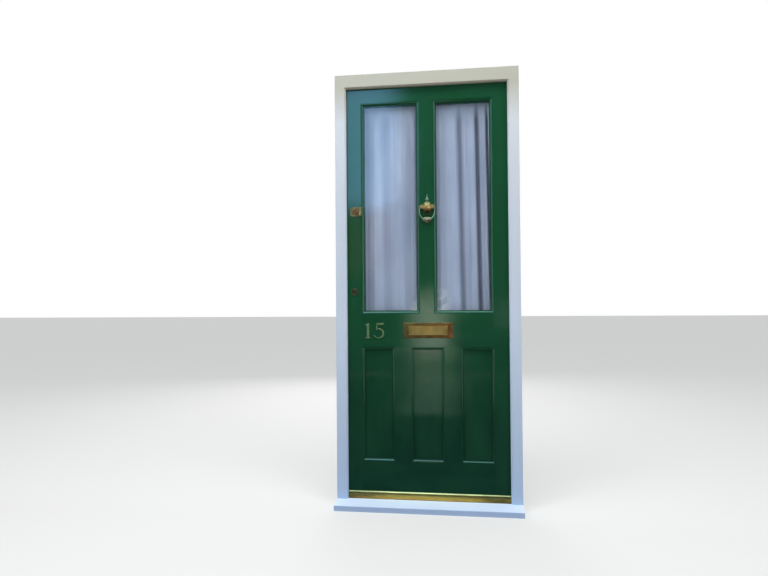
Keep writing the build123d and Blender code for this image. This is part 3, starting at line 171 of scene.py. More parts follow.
def makeGreenPaint(name, grain):
    # Darker towards the foot of the door as painted shade, and thinner between the laps of the
    # brush
    paint = greenPaint
    material = startMaterial(name, Specular_IOR_Level=paint["specular"])
    brush = stretchedNoise(material, brushStretch[grain], paint["brushScale"], 4)
    lap = stretchedNoise(material, lapStretch[grain], paint["lapScale"], 2)
    height = placeAlong(material, "Z")
    # Painted shade: darker towards the foot of the door
    rise = spread(material, height, paint["fade"], interpolation_type="SMOOTHSTEP")
    colour = mixColours(material, rise, tint(*paint["lower"]), tint(*paint["upper"]))
    thinned = fromNoise(material, lap, 0.0, paint["thinShare"])
    colour = mixColours(material, thinned, colour, tint(*paint["thin"]))
    feed(material, "Base Color", colour)
    feed(material, "Roughness", fromNoise(material, lap, *paint["roughness"]))
    wave = addBump(material, lap, paint["lapStrength"], paint["lapDepth"])
    marks = addBump(material, brush, paint["brushStrength"], paint["brushDepth"], wave)
    feed(material, "Normal", marks)
    return material


whitePaint = {
    "heights": (0.0, 2.2), "wander": 0.12,
    # painted light by height: bluish and sky-lit on the jambs, creamy painted shade at the head
    "stops": (
        (0.0, (163, 186, 216)), (0.9, (191, 203, 221)),
        (1.9, (193, 195, 201)), (2.075, (166, 159, 145)),
    ),
    # the bright sill top is painted light and the darker nose is painted shade
    "sill": (212, 228, 252), "nose": (158, 178, 212), "noseEnds": (-0.0815, -0.0785),
    "dust": 0.90, "dustShare": 0.5, "cloudScale": 3.5, "grimeScale": 60,
    "roughness": (0.28, 0.42), "specular": 0.4,
    "brushScale": 380, "brushStrength": 0.5, "brushDepth": 0.0002,
}


def makeWhitePaint(name, grain, shadedNose=False):
    # Painted light in one coat: bluish down the jambs as if lit by the sky, and creamy painted
    # shade along the head
    paint = whitePaint
    material = startMaterial(name, Specular_IOR_Level=paint["specular"])
    brush = stretchedNoise(material, brushStretch[grain], paint["brushScale"], 3)
    cloud = stretchedNoise(material, (1, 1, 0.4), paint["cloudScale"], 4, 0.6)
    grime = stretchedNoise(material, (1, 1, 1), paint["grimeScale"], 6, 0.7)
    if shadedNose:
        # Painted shade: the nose of the sill is darker and bluer than its top, which is painted
        # brighter as if lit from above
        back = spread(material, placeAlong(material, "Y"), paint["noseEnds"])
        colour = mixColours(material, back, tint(*paint["nose"]), tint(*paint["sill"]))
    else:
        # Painted light and painted shade by height, wandering with the cloud
        level = sway(material, placeAlong(material, "Z"), cloud, paint["wander"])
        colour = shadesAlong(material, level, paint["heights"], paint["stops"])
    inputs = {"Color": colour, "Value": paint["dust"]}
    dusty = addNode(material, "HueSaturation", inputs).outputs[0]
    patchy = fromNoise(material, grime, 0.0, paint["dustShare"])
    mottle = calculate(material, "MULTIPLY", patchy, cloud)
    feed(material, "Base Color", mixColours(material, mottle, colour, dusty))
    feed(material, "Roughness", fromNoise(material, cloud, *paint["roughness"]))
    marks = addBump(material, brush, paint["brushStrength"], paint["brushDepth"])
    feed(material, "Normal", marks)
    return material


# Brass, clean in patches and stained between them

brassWear = {"spotEnds": (0.4, 0.62), "pitsPerSpot": 9, "pitStrength": 0.25, "pitDepth": 0.00015}

brasses = {  # clean shade, stained shade, roughness of each, scale of the spots, metallic
    "ringBrass": ((164, 166, 142), (124, 110, 88), (0.30, 0.48), 45, 0.85),
    "bossBrass": ((158, 126, 104), (112, 82, 66), (0.3, 0.46), 70, 0.8),
    "knockerBrass": ((255, 255, 255), (178, 178, 178), (0.32, 0.5), 55, 0.8),
    "plateBrass": ((150, 126, 86), (112, 90, 60), (0.38, 0.55), 22, 0.8),
    "flapBrass": ((200, 158, 98), (176, 134, 80), (0.30, 0.42), 16, 0.85),
    "pullBrass": ((168, 134, 88), (112, 84, 54), (0.34, 0.52), 40, 0.8),
    "cylinderBrass": ((150, 98, 62), (88, 56, 40), (0.32, 0.5), 60, 0.8),
    "stainedBrass": ((88, 74, 48), (50, 42, 30), (0.45, 0.62), 70, 0.7),
    "insideBrass": ((198, 168, 106), (184, 152, 92), (0.24, 0.36), 30, 1.0),
    "numeralBrass": ((128, 138, 94), (88, 102, 66), (0.36, 0.5), 90, 0.6),
}


def makeBrass(name):
    clean, darkened, roughness, spotScale, metallic = brasses[name]
    material = startMaterial(name, Metallic=metallic)
    spots = stretchedNoise(material, (1, 1, 1), spotScale, 5, 0.62)
    pits = stretchedNoise(material, (1, 1, 1), spotScale * brassWear["pitsPerSpot"], 3)
    colour = blendShades(material, spots, darkened, clean, brassWear["spotEnds"])
    feed(material, "Base Color", colour)
    feed(material, "Roughness", fromNoise(material, spots, roughness[1], roughness[0]))
    marks = addBump(material, pits, brassWear["pitStrength"], brassWear["pitDepth"])
    feed(material, "Normal", marks)
    return material


def layHue(material, hue):
    # Colours a brass by place, over its own clean and stained patches
    brass = material.node_tree.nodes["Principled BSDF"].inputs["Base Color"].links[0].from_socket
    feed(material, "Base Color", mixColours(material, 1.0, brass, hue, "MULTIPLY"))
    return material


knockerLightAndShade = {
    "heights": (1.4, 1.6),
    # painted shade low on the bowl and a painted highlight across its belly
    "stops": (
        (1.440, (96, 70, 46)), (1.456, (150, 104, 62)), (1.474, (206, 148, 90)),
        (1.487, (186, 144, 90)), (1.496, (136, 136, 98)), (1.512, (134, 140, 122)),
    ),
}
plateHue = {"across": (-0.12, 0.13), "lockSide": (196, 192, 160), "hingeSide": (255, 190, 156)}
flapHue = {"heights": (0.874, 0.888), "low": (222, 224, 224), "edge": (255, 255, 255)}


def makeKnockerBrass():
    # Painted shade under the bowl, a painted orange highlight on its belly, and green-grey up the
    # spire
    material = makeBrass("knockerBrass")
    height = placeAlong(material, "Z")
    hue = shadesAlong(material, height, knockerLightAndShade["heights"], knockerLightAndShade["stops"])
    return layHue(material, hue)


def makePlateBrass():
    # Cast rim, green-brown at the lock side and redder at the hinge side
    material = makeBrass("plateBrass")
    share = spread(material, placeAlong(material, "X"), plateHue["across"])
    lockSide, hingeSide = tint(*plateHue["lockSide"]), tint(*plateHue["hingeSide"])
    return layHue(material, mixColours(material, share, lockSide, hingeSide))


def makeFlapBrass():
    # Brighter along its top edge
    material = makeBrass("flapBrass")
    share = spread(material, placeAlong(material, "Z"), flapHue["heights"])
    low, edge = tint(*flapHue["low"]), tint(*flapHue["edge"])
    return layHue(material, mixColours(material, share, low, edge))


# Threshold strip and the small fittings

goldStrip = {
    "heights": (0.03, 0.075), "wander": 0.004,
    # painted shade in the low and dark bands, a painted highlight on the bright band and the pale
    # lip
    "paintedLightBands": (
        (0.036, (92, 78, 48)), (0.041, (240, 186, 88)), (0.048, (214, 180, 92)),
        (0.057, (146, 122, 64)), (0.064, (138, 118, 66)), (0.067, (208, 180, 126)),
    ),
    # stain, and painted shade where the highlight fades towards the ends
    "stainAndShade": (84, 74, 50), "stainAndShadeEnds": (0.60, 0.92), "stainAndShadeShare": 0.8,
    "patchScale": 26, "scratchScale": 500, "scratchStrength": 0.3, "scratchDepth": 0.0001,
    "roughness": (0.26, 0.42), "metallic": 0.8,
}


def makeGoldStrip():
    # Anodised bar with painted light by height: a painted highlight on its pale lip and its bright
    # band, painted shade in the dark bands, and darker towards both ends, partly stain and partly
    # painted shade where the highlight fades
    strip = goldStrip
    material = startMaterial("goldAnodised", Metallic=strip["metallic"])
    patches = stretchedNoise(material, (0.25, 1, 1), strip["patchScale"], 5, 0.65)
    scratches = stretchedNoise(material, brushStretch["X"], strip["scratchScale"], 3)
    outward = calculate(material, "ABSOLUTE", placeAlong(material, "X"))
    reach = calculate(material, "ADD", outward, patches)
    # Darker towards both ends: stain, and painted shade where the highlight fades
    darkened = spread(material, reach, strip["stainAndShadeEnds"], 0.0, strip["stainAndShadeShare"])
    level = sway(material, placeAlong(material, "Z"), patches, strip["wander"])
    colour = shadesAlong(material, level, strip["heights"], strip["paintedLightBands"])
    feed(material, "Base Color", mixColours(material, darkened, colour, tint(*strip["stainAndShade"])))
    feed(material, "Roughness", fromNoise(material, scratches, *strip["roughness"]))
    marks = addBump(material, scratches, strip["scratchStrength"], strip["scratchDepth"])
    feed(material, "Normal", marks)
    return material


plainFinishes = {
    "sealRubber": {"light": (38, 38, 38), "dark": (24, 24, 24), "roughness": (0.6, 0.8),
                   "scale": 80, "metallic": 0.0},
    "bronzeEnamel": {"light": (122, 98, 62), "dark": (96, 74, 46), "roughness": (0.35, 0.5),
                     "scale": 60, "metallic": 0.4},
    "platedSteel": {"light": (196, 192, 184), "dark": (150, 146, 138), "roughness": (0.28, 0.42),
                    "scale": 120, "metallic": 0.9},
    "rodCoating": {"light": (232, 232, 228), "dark": (214, 214, 208), "roughness": (0.3, 0.4),
                   "scale": 90, "metallic": 0.0},
}
plainMarks = {"strength": 0.4, "depth": 0.0001}


def makePlainFinish(name):
    finish = plainFinishes[name]
    material = startMaterial(name, Metallic=finish["metallic"])
    cloud = stretchedNoise(material, (1, 1, 1), finish["scale"], 4, 0.6)
    feed(material, "Base Color", blendShades(material, cloud, finish["dark"], finish["light"]))
    feed(material, "Roughness", fromNoise(material, cloud, *finish["roughness"]))
    marks = addBump(material, cloud, plainMarks["strength"], plainMarks["depth"])
    feed(material, "Normal", marks)
    return material


# Glass, slightly uneven. The light that reaches the nets through it is dimmed
# on its own, so that pale cloth looks shaded behind the pane.

paneGlass = {
    # the grey tint is painted shade too: it darkens the pale nets seen through the pane
    "shades": ((206, 215, 225), (214, 222, 230)), "throughLight": (0.68, 0.69, 0.75, 1),
    "index": 1.45, "waveScale": 5, "waveStrength": 0.12, "waveDepth": 0.004,
}


def makeGlass():
    glass = paneGlass
    material = startMaterial(
        "paneGlass", Transmission_Weight=1.0, Roughness=0.0, IOR=glass["index"])
    shader = material.node_tree.nodes["Principled BSDF"]
    output = material.node_tree.nodes["Material Output"]
    wave = stretchedNoise(material, (1, 1, 0.6), glass["waveScale"], 1)
    feed(material, "Base Color", blendShades(material, wave, *glass["shades"]))
    feed(material, "Normal", addBump(material, wave, glass["waveStrength"], glass["waveDepth"]))
    shadow = addNode(material, "LightPath").outputs["Is Shadow Ray"]
    clear = addNode(material, "BsdfTransparent", {"Color": glass["throughLight"]})
    mix = addNode(material, "MixShader", {0: shadow, 1: shader.outputs[0], 2: clear.outputs[0]})
    material.node_tree.links.new(mix.outputs[0], output.inputs["Surface"])
    return material


greenUpright = makeGreenPaint("greenUpright", "Z")
greenCross = makeGreenPaint("greenCross", "X")
whiteUpright = makeWhitePaint("whiteUpright", "Z")
whiteCross = makeWhitePaint("whiteCross", "X")
whiteSill = makeWhitePaint("whiteSill", "X", shadedNose=True)
insideBrass = makeBrass("insideBrass")

finishes = {
    greenUpright: [
        "lock_stile", "hinge_stile", "glazing_muntin", "left_panel_muntin", "right_panel_muntin",
        "left_panel", "middle_panel", "right_panel",
    ],
    greenCross: [
        "top_rail", "lock_rail", "bottom_rail", "left_glazing_beads", "right_glazing_beads",
    ],
    whiteUpright: ["lock_jamb", "hinge_jamb"],
    whiteCross: ["frame_head"],
    whiteSill: ["sill"],
    makeGlass(): ["left_glass", "right_glass"],
    makePlateBrass(): ["letter_plate"],
    makeFlapBrass(): ["letter_flap"],
    makeKnockerBrass(): ["knocker_urn"],
    makeBrass("ringBrass"): ["knocker_ring", "knocker_stud"],
    makeBrass("pullBrass"): ["cylinder_pull"],
    makeBrass("cylinderBrass"): ["rim_cylinder", "cylinder_plug"],
    makeBrass("stainedBrass"): ["outer_escutcheon"],
    insideBrass: [
        "inner_letter_frame", "inner_letter_flap", "inner_escutcheon", "latch_knob",
        "latch_snib", "latch_bolt", "deadbolt", "deadlock_strike", "deadlock_case",
    ],
    makeGoldStrip(): ["threshold_strip"],
    makePlainFinish("sealRubber"): ["threshold_seal", "frame_seal"],
    makePlainFinish("bronzeEnamel"): ["latch_keep", "nightlatch_case"],
    makePlainFinish("platedSteel"): [
        "through_bolts", "frame_screws", "leaf_screws",
        *[f"{level}_{part}" for level in ("bottom", "middle", "top")
          for part in ("frame_hinge_flap", "leaf_hinge_flap", "hinge_pin")],
    ],
    makePlainFinish("rodCoating"): ["left_net_rod", "right_net_rod", "rod_brackets"],
}
for finish, names in finishes.items():
    for name in names:
        nodes[name].data.materials.clear()
        nodes[name].data.materials.append(finish)
print("finishes on", sum(len(names) for names in finishes.values()), "nodes")


def newObject(name, mesh, material):
    if isinstance(mesh, bmesh.types.BMesh):
        data = bpy.data.meshes.new(name)
        mesh.to_mesh(data)
        mesh.free()
        mesh = data
    made = bpy.data.objects.new(name, mesh)
    bpy.context.scene.collection.objects.link(made)
    mesh.materials.clear()
    mesh.materials.append(material)
    return made


def newPiece(name, mesh, material, body):
    piece = newObject(name, mesh, material)
    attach(piece, body)
    return piece


# Net curtains: pleated cloth with a casing that the rod runs through.
# A fold is its place as a share of the width, its depth and its breadth.

netCloth = {
    # the valley colour is painted shade for the deep folds
    "thread": (214, 211, 219), "shade": (180, 178, 188), "valleyShade": (104, 102, 116),
    "threadPitch": 0.0009, "threadWander": 0.3, "threadStrength": 0.35, "threadDepth": 0.0002,
    "slubScale": 90, "slubShare": 0.3, "cloudScale": 6, "cloudEnds": (0.2, 0.6),
    "roughness": 0.9, "specular": 0.03, "thickness": 0.0006,
}
nets = {
    "leftNetCurtain": {
        "node": "left_net", "rod": "left_net_rod", "fullness": 1.02, "seed": 3.1, "lean": -0.02,
        "folds": (
            (0.05, 0.007, 0.020), (0.155, 0.006, 0.022), (0.38, 0.007, 0.030),
            (0.56, 0.005, 0.050), (0.80, 0.006, 0.036), (0.93, 0.010, 0.012),
        ),
    },
    "rightNetCurtain": {
        "node": "right_net", "rod": "right_net_rod", "fullness": 1.10, "seed": 8.4, "lean": -0.055,
        "folds": (
            (0.03, 0.006, 0.018), (0.22, 0.005, 0.050), (0.49, 0.014, 0.017), (0.63, 0.007, 0.020),
            (0.782, 0.018, 0.011), (0.87, 0.007, 0.014), (0.957, 0.019, 0.007),
        ),
    },
}
hang = {
    "front": 0.0035, "standOff": 0.002, "paneWidth": 0.27, "leanFrom": 1.48,
    "wander": 0.015, "wanderPitch": (2, 1.1),
    "gatherLength": 0.09, "gatheredShare": 0.45, "settleLength": 0.03,
    "shadeFrom": 0.005, "shadeOver": 0.011, "columns": 260, "rows": 150,
}
gathers = (  # the pitch is across and up, and the shift sets its seed apart
    {"depth": 0.0016, "pitch": (16, 0.9), "shift": 5},
    {"depth": 0.0009, "pitch": (45, 0.5), "shift": 9},
)
casing = {
    "drop": 0.012, "clearance": 0.0014, "ripple": 0.0008, "ripples": 34,
    "frontLap": 0.0004, "backLap": 0.0006,
}


def makeNetCloth():
    cloth = netCloth
    material = startMaterial(
        "netVoile", Roughness=cloth["roughness"], Specular_IOR_Level=cloth["specular"])
    uv = addNode(material, "UVMap", uv_map="cloth").outputs["UV"]
    turns = 0.5 / cloth["threadPitch"]
    inputs = {"Vector": uv, "Scale": turns / math.pi, "Distortion": cloth["threadWander"]}
    threads = [
        addNode(material, "TexWave", inputs, wave_type="BANDS", bands_direction=way).outputs["Fac"]
        for way in ("X", "Y")
    ]
    weave = calculate(material, "MAXIMUM", *threads)
    slub = stretchedNoise(material, (1, 1, 0.05), cloth["slubScale"], 3)
    cloud = stretchedNoise(material, (1, 1, 0.3), cloth["cloudScale"], 3)
    colour = blendShades(material, cloud, cloth["shade"], cloth["thread"], cloth["cloudEnds"])
    slubby = fromNoise(material, slub, 0.0, cloth["slubShare"])
    colour = mixColours(material, slubby, colour, tint(*cloth["shade"]))
    # Painted shade: the cloth darkens towards the valley shade where its folds lie deep
    foldShade = addNode(material, "Attribute", attribute_name="foldShade").outputs["Fac"]
    feed(material, "Base Color", mixColours(material, foldShade, colour, tint(*cloth["valleyShade"])))
    marks = addBump(material, weave, cloth["threadStrength"], cloth["threadDepth"])
    feed(material, "Normal", marks)
    return material


def pleatDepth(share, height, spec):
    # Depth of the cloth behind its front, from the named folds and small gathers
    across, up = hang["wanderPitch"]
    wander = hang["wander"] * noise.noise(Vector((share * across, height * up, spec["seed"])))
    depth = 0.0
    shift = spec["lean"] * (height - hang["leanFrom"])
    for centre, deep, wide in spec["folds"]:
        away = (share + wander - centre - shift) / (wide / hang["paneWidth"])
        depth += deep * math.exp(-away * away)
    for gather in gathers:
        across, up = gather["pitch"]
        place = Vector((share * across, height * up, spec["seed"] + gather["shift"]))
        depth += gather["depth"] * noise.noise(place)
    return depth


def makeNet(name, spec):
    low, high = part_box(spec["node"])
    rodLow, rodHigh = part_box(spec["rod"])
    rodY = (rodLow.y + rodHigh.y) / 2
    rodZ = (rodLow.z + rodHigh.z) / 2
    loop = (rodHigh.z - rodLow.z) / 2 + casing["clearance"]
    around = 2 * math.pi * loop
    straight = rodZ - loop - casing["drop"] - low.z
    length = straight + 2 * casing["drop"] + around
    front = low.y - hang["front"]
    mesh = bmesh.new()
    bmesh.ops.create_grid(
        mesh, x_segments=hang["columns"], y_segments=hang["rows"], size=0.5, calc_uvs=True)
    uvLayer = mesh.loops.layers.uv.verify()
    foldShadeLayer = mesh.verts.layers.float.new("foldShade")
    flatWidth = (high.x - low.x) * spec["fullness"]
    for face in mesh.faces:
        for corner in face.loops:
            at = corner.vert.co
            corner[uvLayer].uv = ((at.x + 0.5) * flatWidth, (at.y + 0.5) * length)
    for vert in mesh.verts:
        share, along = vert.co.x + 0.5, (vert.co.y + 0.5) * length
        x = low.x + share * (high.x - low.x)
        if along <= straight:
            # The pleats flatten and the cloth comes back to the rod under the casing
            z = low.z + along
            gather = min(1, (straight - along) / hang["gatherLength"])
            depth = pleatDepth(share, z, spec)
            depth *= hang["gatheredShare"] + (1 - hang["gatheredShare"]) * gather
            settle = min(1, (straight - along) / hang["settleLength"])
            y = (front + hang["standOff"] + depth) * settle + rodY * (1 - settle)
            # How much painted shade each point takes, from the depth of its fold
            vert[foldShadeLayer] = min(1, max(0, (depth - hang["shadeFrom"]) / hang["shadeOver"]))
        else:
            past = along - straight
            ripple = casing["ripple"] * (1 + math.sin(share * casing["ripples"] * 2 * math.pi))
            if past < casing["drop"]:
                y, z = rodY - casing["frontLap"], low.z + along
            elif past < casing["drop"] + around:
                turn = (past - casing["drop"]) / loop
                y = rodY - (loop + ripple) * math.sin(turn)
                z = rodZ - (loop + ripple) * math.cos(turn)
            else:
                y = rodY + casing["backLap"]
                z = rodZ - loop - (past - casing["drop"] - around)
        vert.co = (x, y, z)
    bmesh.ops.recalc_face_normals(mesh, faces=mesh.faces)
    for face in mesh.faces:
        face.smooth = True
    piece = newPiece(name, mesh, netMaterial, "leaf")
    piece.data.uv_layers[0].name = "cloth"
    thick = piece.modifiers.new("thickness", "SOLIDIFY")
    thick.thickness = netCloth["thickness"]
    thick.offset = 0
    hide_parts(spec["node"])


netMaterial = makeNetCloth()
for name, spec in nets.items():
    makeNet(name, spec)
print("nets hung")


# House numerals, cast in brass and fixed to the lock rail.
# Their outlines are in millimetres, from the foot of each figure's left side.

numerals = {
    "height": 0.076, "thickness": 0.0030, "edge": 0.0004, "baseZ": 0.8275,
    "oneX": -0.3095, "fiveX": -0.2650,
}
drawnHeight = 76


def arcPoints(centre, radii, start, end, count=30):
    points = []
    for i in range(count + 1):
        angle = math.radians(start + (end - start) * i / count)
        x = centre[0] + radii[0] * math.cos(angle)
        points.append((x, centre[1] + radii[1] * math.sin(angle)))
    return points


def figureOne():
    return [
        (0, 0), (26, 0), (26, 3.8), (19.8, 5.8), (19.2, 8), (19.2, 76), (16, 76),
        (0.4, 66.5), (1.6, 63), (7.8, 65.8), (8.6, 63), (8.6, 8), (8, 5.8), (0, 3.8),
    ]


def figureFive():
    outer = arcPoints((23.5, 25), (27.5, 25.5), 108, -158)
    inner = arcPoints((20.5, 24.5), (21, 20.5), -152, 118)
    flag = [(13, 76), (46, 76), (50, 80), (46.5, 67), (17.5, 67)]
    return [*flag, *outer, *inner, (9.5, 43.5)]


def makeNumeral(name, outline, left):
    scale = numerals["height"] / drawnHeight
    curve = bpy.data.curves.new(name, "CURVE")
    curve.dimensions = "2D"
    curve.fill_mode = "BOTH"
    spline = curve.splines.new("POLY")
    spline.points.add(len(outline) - 1)
    for point, (x, z) in zip(spline.points, outline):
        point.co = (x * scale, z * scale, 0, 1)
    spline.use_cyclic_u = True
    curve.extrude = numerals["thickness"] / 2 - numerals["edge"]
    curve.bevel_depth = numerals["edge"]
    curve.bevel_resolution = 1
    curve.offset = -numerals["edge"]
    holder = bpy.data.objects.new(name + "Curve", curve)
    mesh = bpy.data.meshes.new_from_object(holder)
    bpy.data.objects.remove(holder)
    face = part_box("lock_rail")[0].y
    place = Matrix.Translation((left, face - numerals["thickness"] / 2, numerals["baseZ"]))
    mesh.transform(place @ Matrix.Rotation(math.radians(90), 4, "X"))
    newPiece(name, mesh, numeralBrass, "leaf")


numeralBrass = makeBrass("numeralBrass")
makeNumeral("numeralOne", figureOne(), numerals["oneX"])
makeNumeral("numeralFive", figureFive(), numerals["fiveX"])
print("numerals fixed")


# Striking boss at the foot of the ring, turned as a drop and flattened.
# Its outline is radius and height in millimetres, from the middle of the ring's bar.

strikeBoss = {
    "outline": (
        (0, 15.5), (9.5, 14.8), (18, 11.5), (23, 5.5), (20.5, -1.5), (14, -8), (6.5, -13),
        (0, -15.5),
    ),
    "depthShare": 0.235, "steps": 32, "mergeWithin": 1e-5, "smoothing": 2,
}


def makeStrikeBoss():
    ringLow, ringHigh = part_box("knocker_ring")
    mesh = bmesh.new()
    points = [mesh.verts.new((r / 1000, 0, z / 1000)) for r, z in strikeBoss["outline"]]
    edges = [mesh.edges.new(pair) for pair in zip(points, points[1:])]
    bmesh.ops.spin(
        mesh, geom=points + edges, cent=(0, 0, 0), axis=(0, 0, 1), angle=math.tau,
        steps=strikeBoss["steps"], use_merge=True)
    bmesh.ops.remove_doubles(mesh, verts=mesh.verts, dist=strikeBoss["mergeWithin"])
    bmesh.ops.recalc_face_normals(mesh, faces=mesh.faces)
    bmesh.ops.scale(mesh, vec=(1, strikeBoss["depthShare"], 1), verts=mesh.verts)
    barRadius = (ringHigh.y - ringLow.y) / 2
    place = (
        (ringLow.x + ringHigh.x) / 2, (ringLow.y + ringHigh.y) / 2, ringLow.z + barRadius,
    )
    bmesh.ops.translate(mesh, vec=place, verts=mesh.verts)
    for face in mesh.faces:
        face.smooth = True
    boss = newPiece("strikeBoss", mesh, makeBrass("bossBrass"), "ring")
    rounding = boss.modifiers.new("rounding", "SUBSURF")
    rounding.levels = rounding.render_levels = strikeBoss["smoothing"]


makeStrikeBoss()
print("striking boss fixed to the ring")


# Swinging cover on the room side of the keyhole

keyholeCover = {"radius": 0.0115, "thickness": 0.0014, "edge": 0.0003, "levelWithin": 1e-6}


def makeKeyholeCover():
    low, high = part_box("inner_escutcheon")
    radius = keyholeCover["radius"]
    mesh = bmesh.new()
    bmesh.ops.create_circle(mesh, segments=40, radius=radius, cap_ends=True)
    bmesh.ops.solidify(mesh, geom=mesh.faces[:], thickness=keyholeCover["thickness"])
    rims = [
        edge for edge in mesh.edges if edge.calc_length() < radius / 4
        and abs(edge.verts[0].co.z - edge.verts[1].co.z) < keyholeCover["levelWithin"]
    ]
    bmesh.ops.bevel(
        mesh, geom=rims, offset=keyholeCover["edge"], segments=2, profile=0.5,
        affect="EDGES", material=-1)
    turn = Matrix.Rotation(math.radians(-90), 3, "X")
    bmesh.ops.rotate(mesh, cent=(0, 0, 0), matrix=turn, verts=mesh.verts)
    middle = (low + high) / 2
    nearest = min(vert.co.y for vert in mesh.verts)  # the face that lies on the escutcheon
    place = (middle.x, high.y - nearest, middle.z)
    bmesh.ops.translate(mesh, vec=place, verts=mesh.verts)
    bmesh.ops.recalc_face_normals(mesh, faces=mesh.faces)
    newPiece("keyholeCover", mesh, insideBrass, "leaf")


makeKeyholeCover()
print("keyhole covered")


# Floor, light and camera

def seenByEye(owner):
    # 1 where the camera sees a surface or the world, straight, mirrored or through glass
    rays = addNode(owner, "LightPath").outputs
    straight = calculate(owner, "MAXIMUM", rays["Is Camera Ray"], rays["Is Transmission Ray"])
    return calculate(owner, "MAXIMUM", straight, rays["Is Glossy Ray"])


floorLook = {"half": 30, "colour": (176, 176, 174), "roughness": 0.9, "specular": 0.1, "glow": 0.36}


def makeFloor():
    mesh = bmesh.new()
    bmesh.ops.create_grid(mesh, x_segments=1, y_segments=1, size=floorLook["half"])
    material = startMaterial(
        "paleFloor", Base_Color=tint(*floorLook["colour"]), Roughness=floorLook["roughness"],
        Specular_IOR_Level=floorLook["specular"])
    glow = calculate(material, "MULTIPLY", seenByEye(material), floorLook["glow"])
    feed(material, "Emission Strength", glow)
    floor = newObject("floor", mesh, material)


# Cards behind, beside, above and on the floor before the door, which only glossy paint,
# glass and brass mirror. One without a glow is plain and dark, and a broken one is patchy.

cards = {
    "darkFlag": {
        "x": (-7, 7), "y": (-5.2, -5.2), "z": (-0.02, 5.5), "colour": (26, 40, 30)},
    "groundFlag": {
        "x": (-2.5, 2.5), "y": (-5.0, -0.12), "z": (0.004, 0.004), "colour": (44, 47, 44)},
    "blueCard": {
        "x": (-1.75, -0.44), "y": (-4.6, -4.6), "z": (1.9, 4.4),
        "colour": (140, 196, 250), "glow": 5.8, "soft": 0.26},
    "warmCard": {
        "x": (-1.62, -0.50), "y": (-4.7, -4.7), "z": (1.15, 2.3),
        "colour": (200, 150, 125), "glow": 0.6, "soft": 0.2},
    "paleCard": {
        "x": (-0.50, 0.13), "y": (-3.3, -3.3), "z": (0.22, 1.22),
        "colour": (215, 225, 205), "glow": 8.2, "soft": 0.14, "broken": True},
    "paleLow": {
        "x": (-0.52, 0.16), "y": (-3.25, -3.25), "z": (-0.1, 0.62),
        "colour": (205, 222, 190), "glow": 2.3, "soft": 0.15, "broken": True},
    "paleGround": {
        "x": (-0.60, 0.26), "y": (-5.1, -2.1), "z": (0.008, 0.008),
        "colour": (185, 215, 195), "glow": 1.4, "soft": 0.2},
    "sideCard": {
        "x": (0.42, 0.80), "y": (-3.3, -3.3), "z": (0.55, 1.15),
        "colour": (200, 225, 225), "glow": 5.0, "soft": 0.16, "broken": True},
    "aboveCard": {
        "x": (-2.6, 2.6), "y": (-4.0, -0.1), "z": (3.6, 3.6),
        "colour": (150, 212, 214), "glow": 7.5, "soft": 0.4},
    "rightCard": {
        "x": (2.3, 2.3), "y": (-4.8, 0.1), "z": (0.2, 4.6),
        "colour": (165, 208, 215), "glow": 3.2, "soft": 0.3},
    "leftCard": {
        "x": (-2.3, -2.3), "y": (-4.8, 0.1), "z": (0.2, 4.6),
        "colour": (155, 205, 212), "glow": 2.4, "soft": 0.3},
}
cardEdge = {
    "ragged": {"Scale": 7.0, "Detail": 5.0},
    "broken": {"Scale": 13.0, "Detail": 4.0, "Roughness": 0.55}, "brokenEnds": (0.40, 0.58),
}


def makeCard(name, spec):
    size = [spec[axis][1] - spec[axis][0] for axis in "xyz"]
    middle = [sum(spec[axis]) / 2 for axis in "xyz"]
    mesh = bmesh.new()
    bmesh.ops.create_grid(mesh, x_segments=1, y_segments=1, size=0.5)
    if size[2]:
        turn = Matrix.Rotation(math.radians(90), 3, "Y" if size[1] else "X")
        bmesh.ops.rotate(mesh, cent=(0, 0, 0), matrix=turn, verts=mesh.verts)
    bmesh.ops.scale(mesh, vec=size, verts=mesh.verts)
    bmesh.ops.translate(mesh, vec=middle, verts=mesh.verts)
    material = startMaterial(
        name, Base_Color=tint(*spec["colour"]), Roughness=1.0, Specular_IOR_Level=0.0)
    if "glow" in spec:
        fadeCard(material, spec, [("XYZ"[i], middle[i], size[i]) for i in range(3) if size[i]])
    card = newObject(name, mesh, material)
    card.visible_camera = False
    card.visible_diffuse = False
    card.visible_shadow = False
    card.visible_transmission = False


def fadeCard(material, spec, spans):
    # Bright in the middle and clear at the ragged edge, so its mirror image has no hard border
    coords = addNode(material, "TexCoord").outputs["Object"]
    axes = addNode(material, "SeparateXYZ", {"Vector": coords}).outputs
    inputs = {"Vector": coords, **cardEdge["ragged"]}
    ragged = addNode(material, "TexNoise", inputs).outputs["Fac"]
    share = 1.0
    for axis, centre, width in spans:
        offset = calculate(material, "SUBTRACT", axes[axis], centre)
        away = calculate(material, "ABSOLUTE", offset)
        rough = calculate(material, "MULTIPLY_ADD", ragged, spec["soft"], away)
        ends = (width / 2, width / 2 - spec["soft"])
        near = spread(material, rough, ends, interpolation_type="SMOOTHSTEP")
        share = calculate(material, "MULTIPLY", share, near)
    if "broken" in spec:
        inputs = {"Vector": coords, **cardEdge["broken"]}
        patches = addNode(material, "TexNoise", inputs).outputs["Fac"]
        gaps = spread(material, patches, cardEdge["brokenEnds"])
        share = calculate(material, "MULTIPLY", share, gaps)
    glow = addNode(material, "Emission", {"Color": tint(*spec["colour"]), "Strength": spec["glow"]})
    clear = addNode(material, "BsdfTransparent")
    mix = addNode(material, "MixShader", {0: share, 1: clear.outputs[0], 2: glow.outputs[0]})
    output = material.node_tree.nodes["Material Output"]
    material.node_tree.links.new(mix.outputs[0], output.inputs["Surface"])


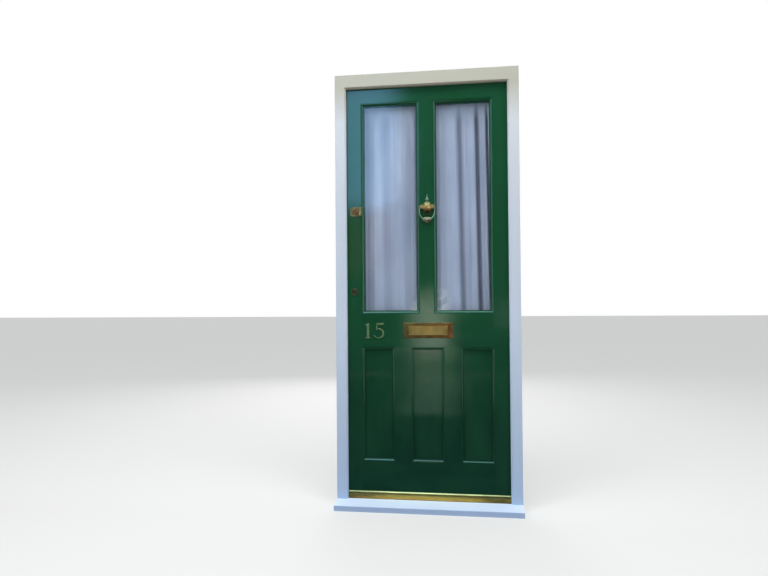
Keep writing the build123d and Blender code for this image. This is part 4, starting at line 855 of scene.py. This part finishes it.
lamps = {
    "keyBox": {"place": (-2.6, -3.6, 3.4), "aim": (0, 0, 1.0), "size": (2.2, 2.2), "power": 50},
    "fillBox": {"place": (2.8, -3.2, 1.6), "aim": (0, 0, 1.0), "size": (2.0, 2.0), "power": 23},
    "topBox": {"place": (0.0, -1.3, 4.4), "aim": (0, 0, 0.6), "size": (3.0, 1.2), "power": 112},
    "backBox": {"place": (-0.9, 4.2, 2.6), "aim": (0, 0, 1.0), "size": (2.6, 2.6), "power": 78},
}


def addSoftbox(name, spec):
    lamp = bpy.data.lights.new(name, "AREA")
    lamp.shape = "RECTANGLE"
    lamp.size, lamp.size_y = spec["size"]
    lamp.energy = spec["power"]
    holder = bpy.data.objects.new(name, lamp)
    bpy.context.scene.collection.objects.link(holder)
    holder.location = spec["place"]
    aim = Vector(spec["aim"]) - Vector(spec["place"])
    holder.rotation_euler = aim.to_track_quat("-Z", "Y").to_euler()
    holder.visible_glossy = False
    holder.visible_camera = False


roomLight = {"onObject": (0.51, 0.52, 0.54, 1), "seen": (1, 1, 1, 1)}


def makeWorld():
    # White wherever it is seen, and dimmer as the light that falls on the door
    world = bpy.data.worlds.new("studio")
    bpy.context.scene.world = world
    world.use_nodes = True
    background = world.node_tree.nodes["Background"]
    background.inputs["Strength"].default_value = 1.0
    colour = mixColours(world, seenByEye(world), roomLight["onObject"], roomLight["seen"])
    world.node_tree.links.new(colour, background.inputs["Color"])


view = {
    "place": (0.2, -3.0053, 1.0303), "pitch": 0.884, "yaw": 7.776, "roll": -0.427,
    "focalPixels": 614.1, "pictureWidth": 768, "sensorWidth": 36,
}


def makeCamera():
    camera = bpy.data.cameras.new("camera")
    holder = bpy.data.objects.new("camera", camera)
    bpy.context.scene.collection.objects.link(holder)
    camera.sensor_width = view["sensorWidth"]
    camera.lens = view["sensorWidth"] * view["focalPixels"] / view["pictureWidth"]
    turn = (
        Matrix.Rotation(math.radians(view["yaw"]), 4, "Z")
        @ Matrix.Rotation(math.radians(90 + view["pitch"]), 4, "X")
        @ Matrix.Rotation(math.radians(view["roll"]), 4, "Z")
    )
    holder.matrix_world = Matrix.Translation(view["place"]) @ turn
    bpy.context.scene.camera = holder


makeFloor()
for name, spec in cards.items():
    makeCard(name, spec)
makeWorld()
for name, spec in lamps.items():
    addSoftbox(name, spec)
makeCamera()
bpy.context.scene.view_settings.view_transform = "Standard"
print("stage set")
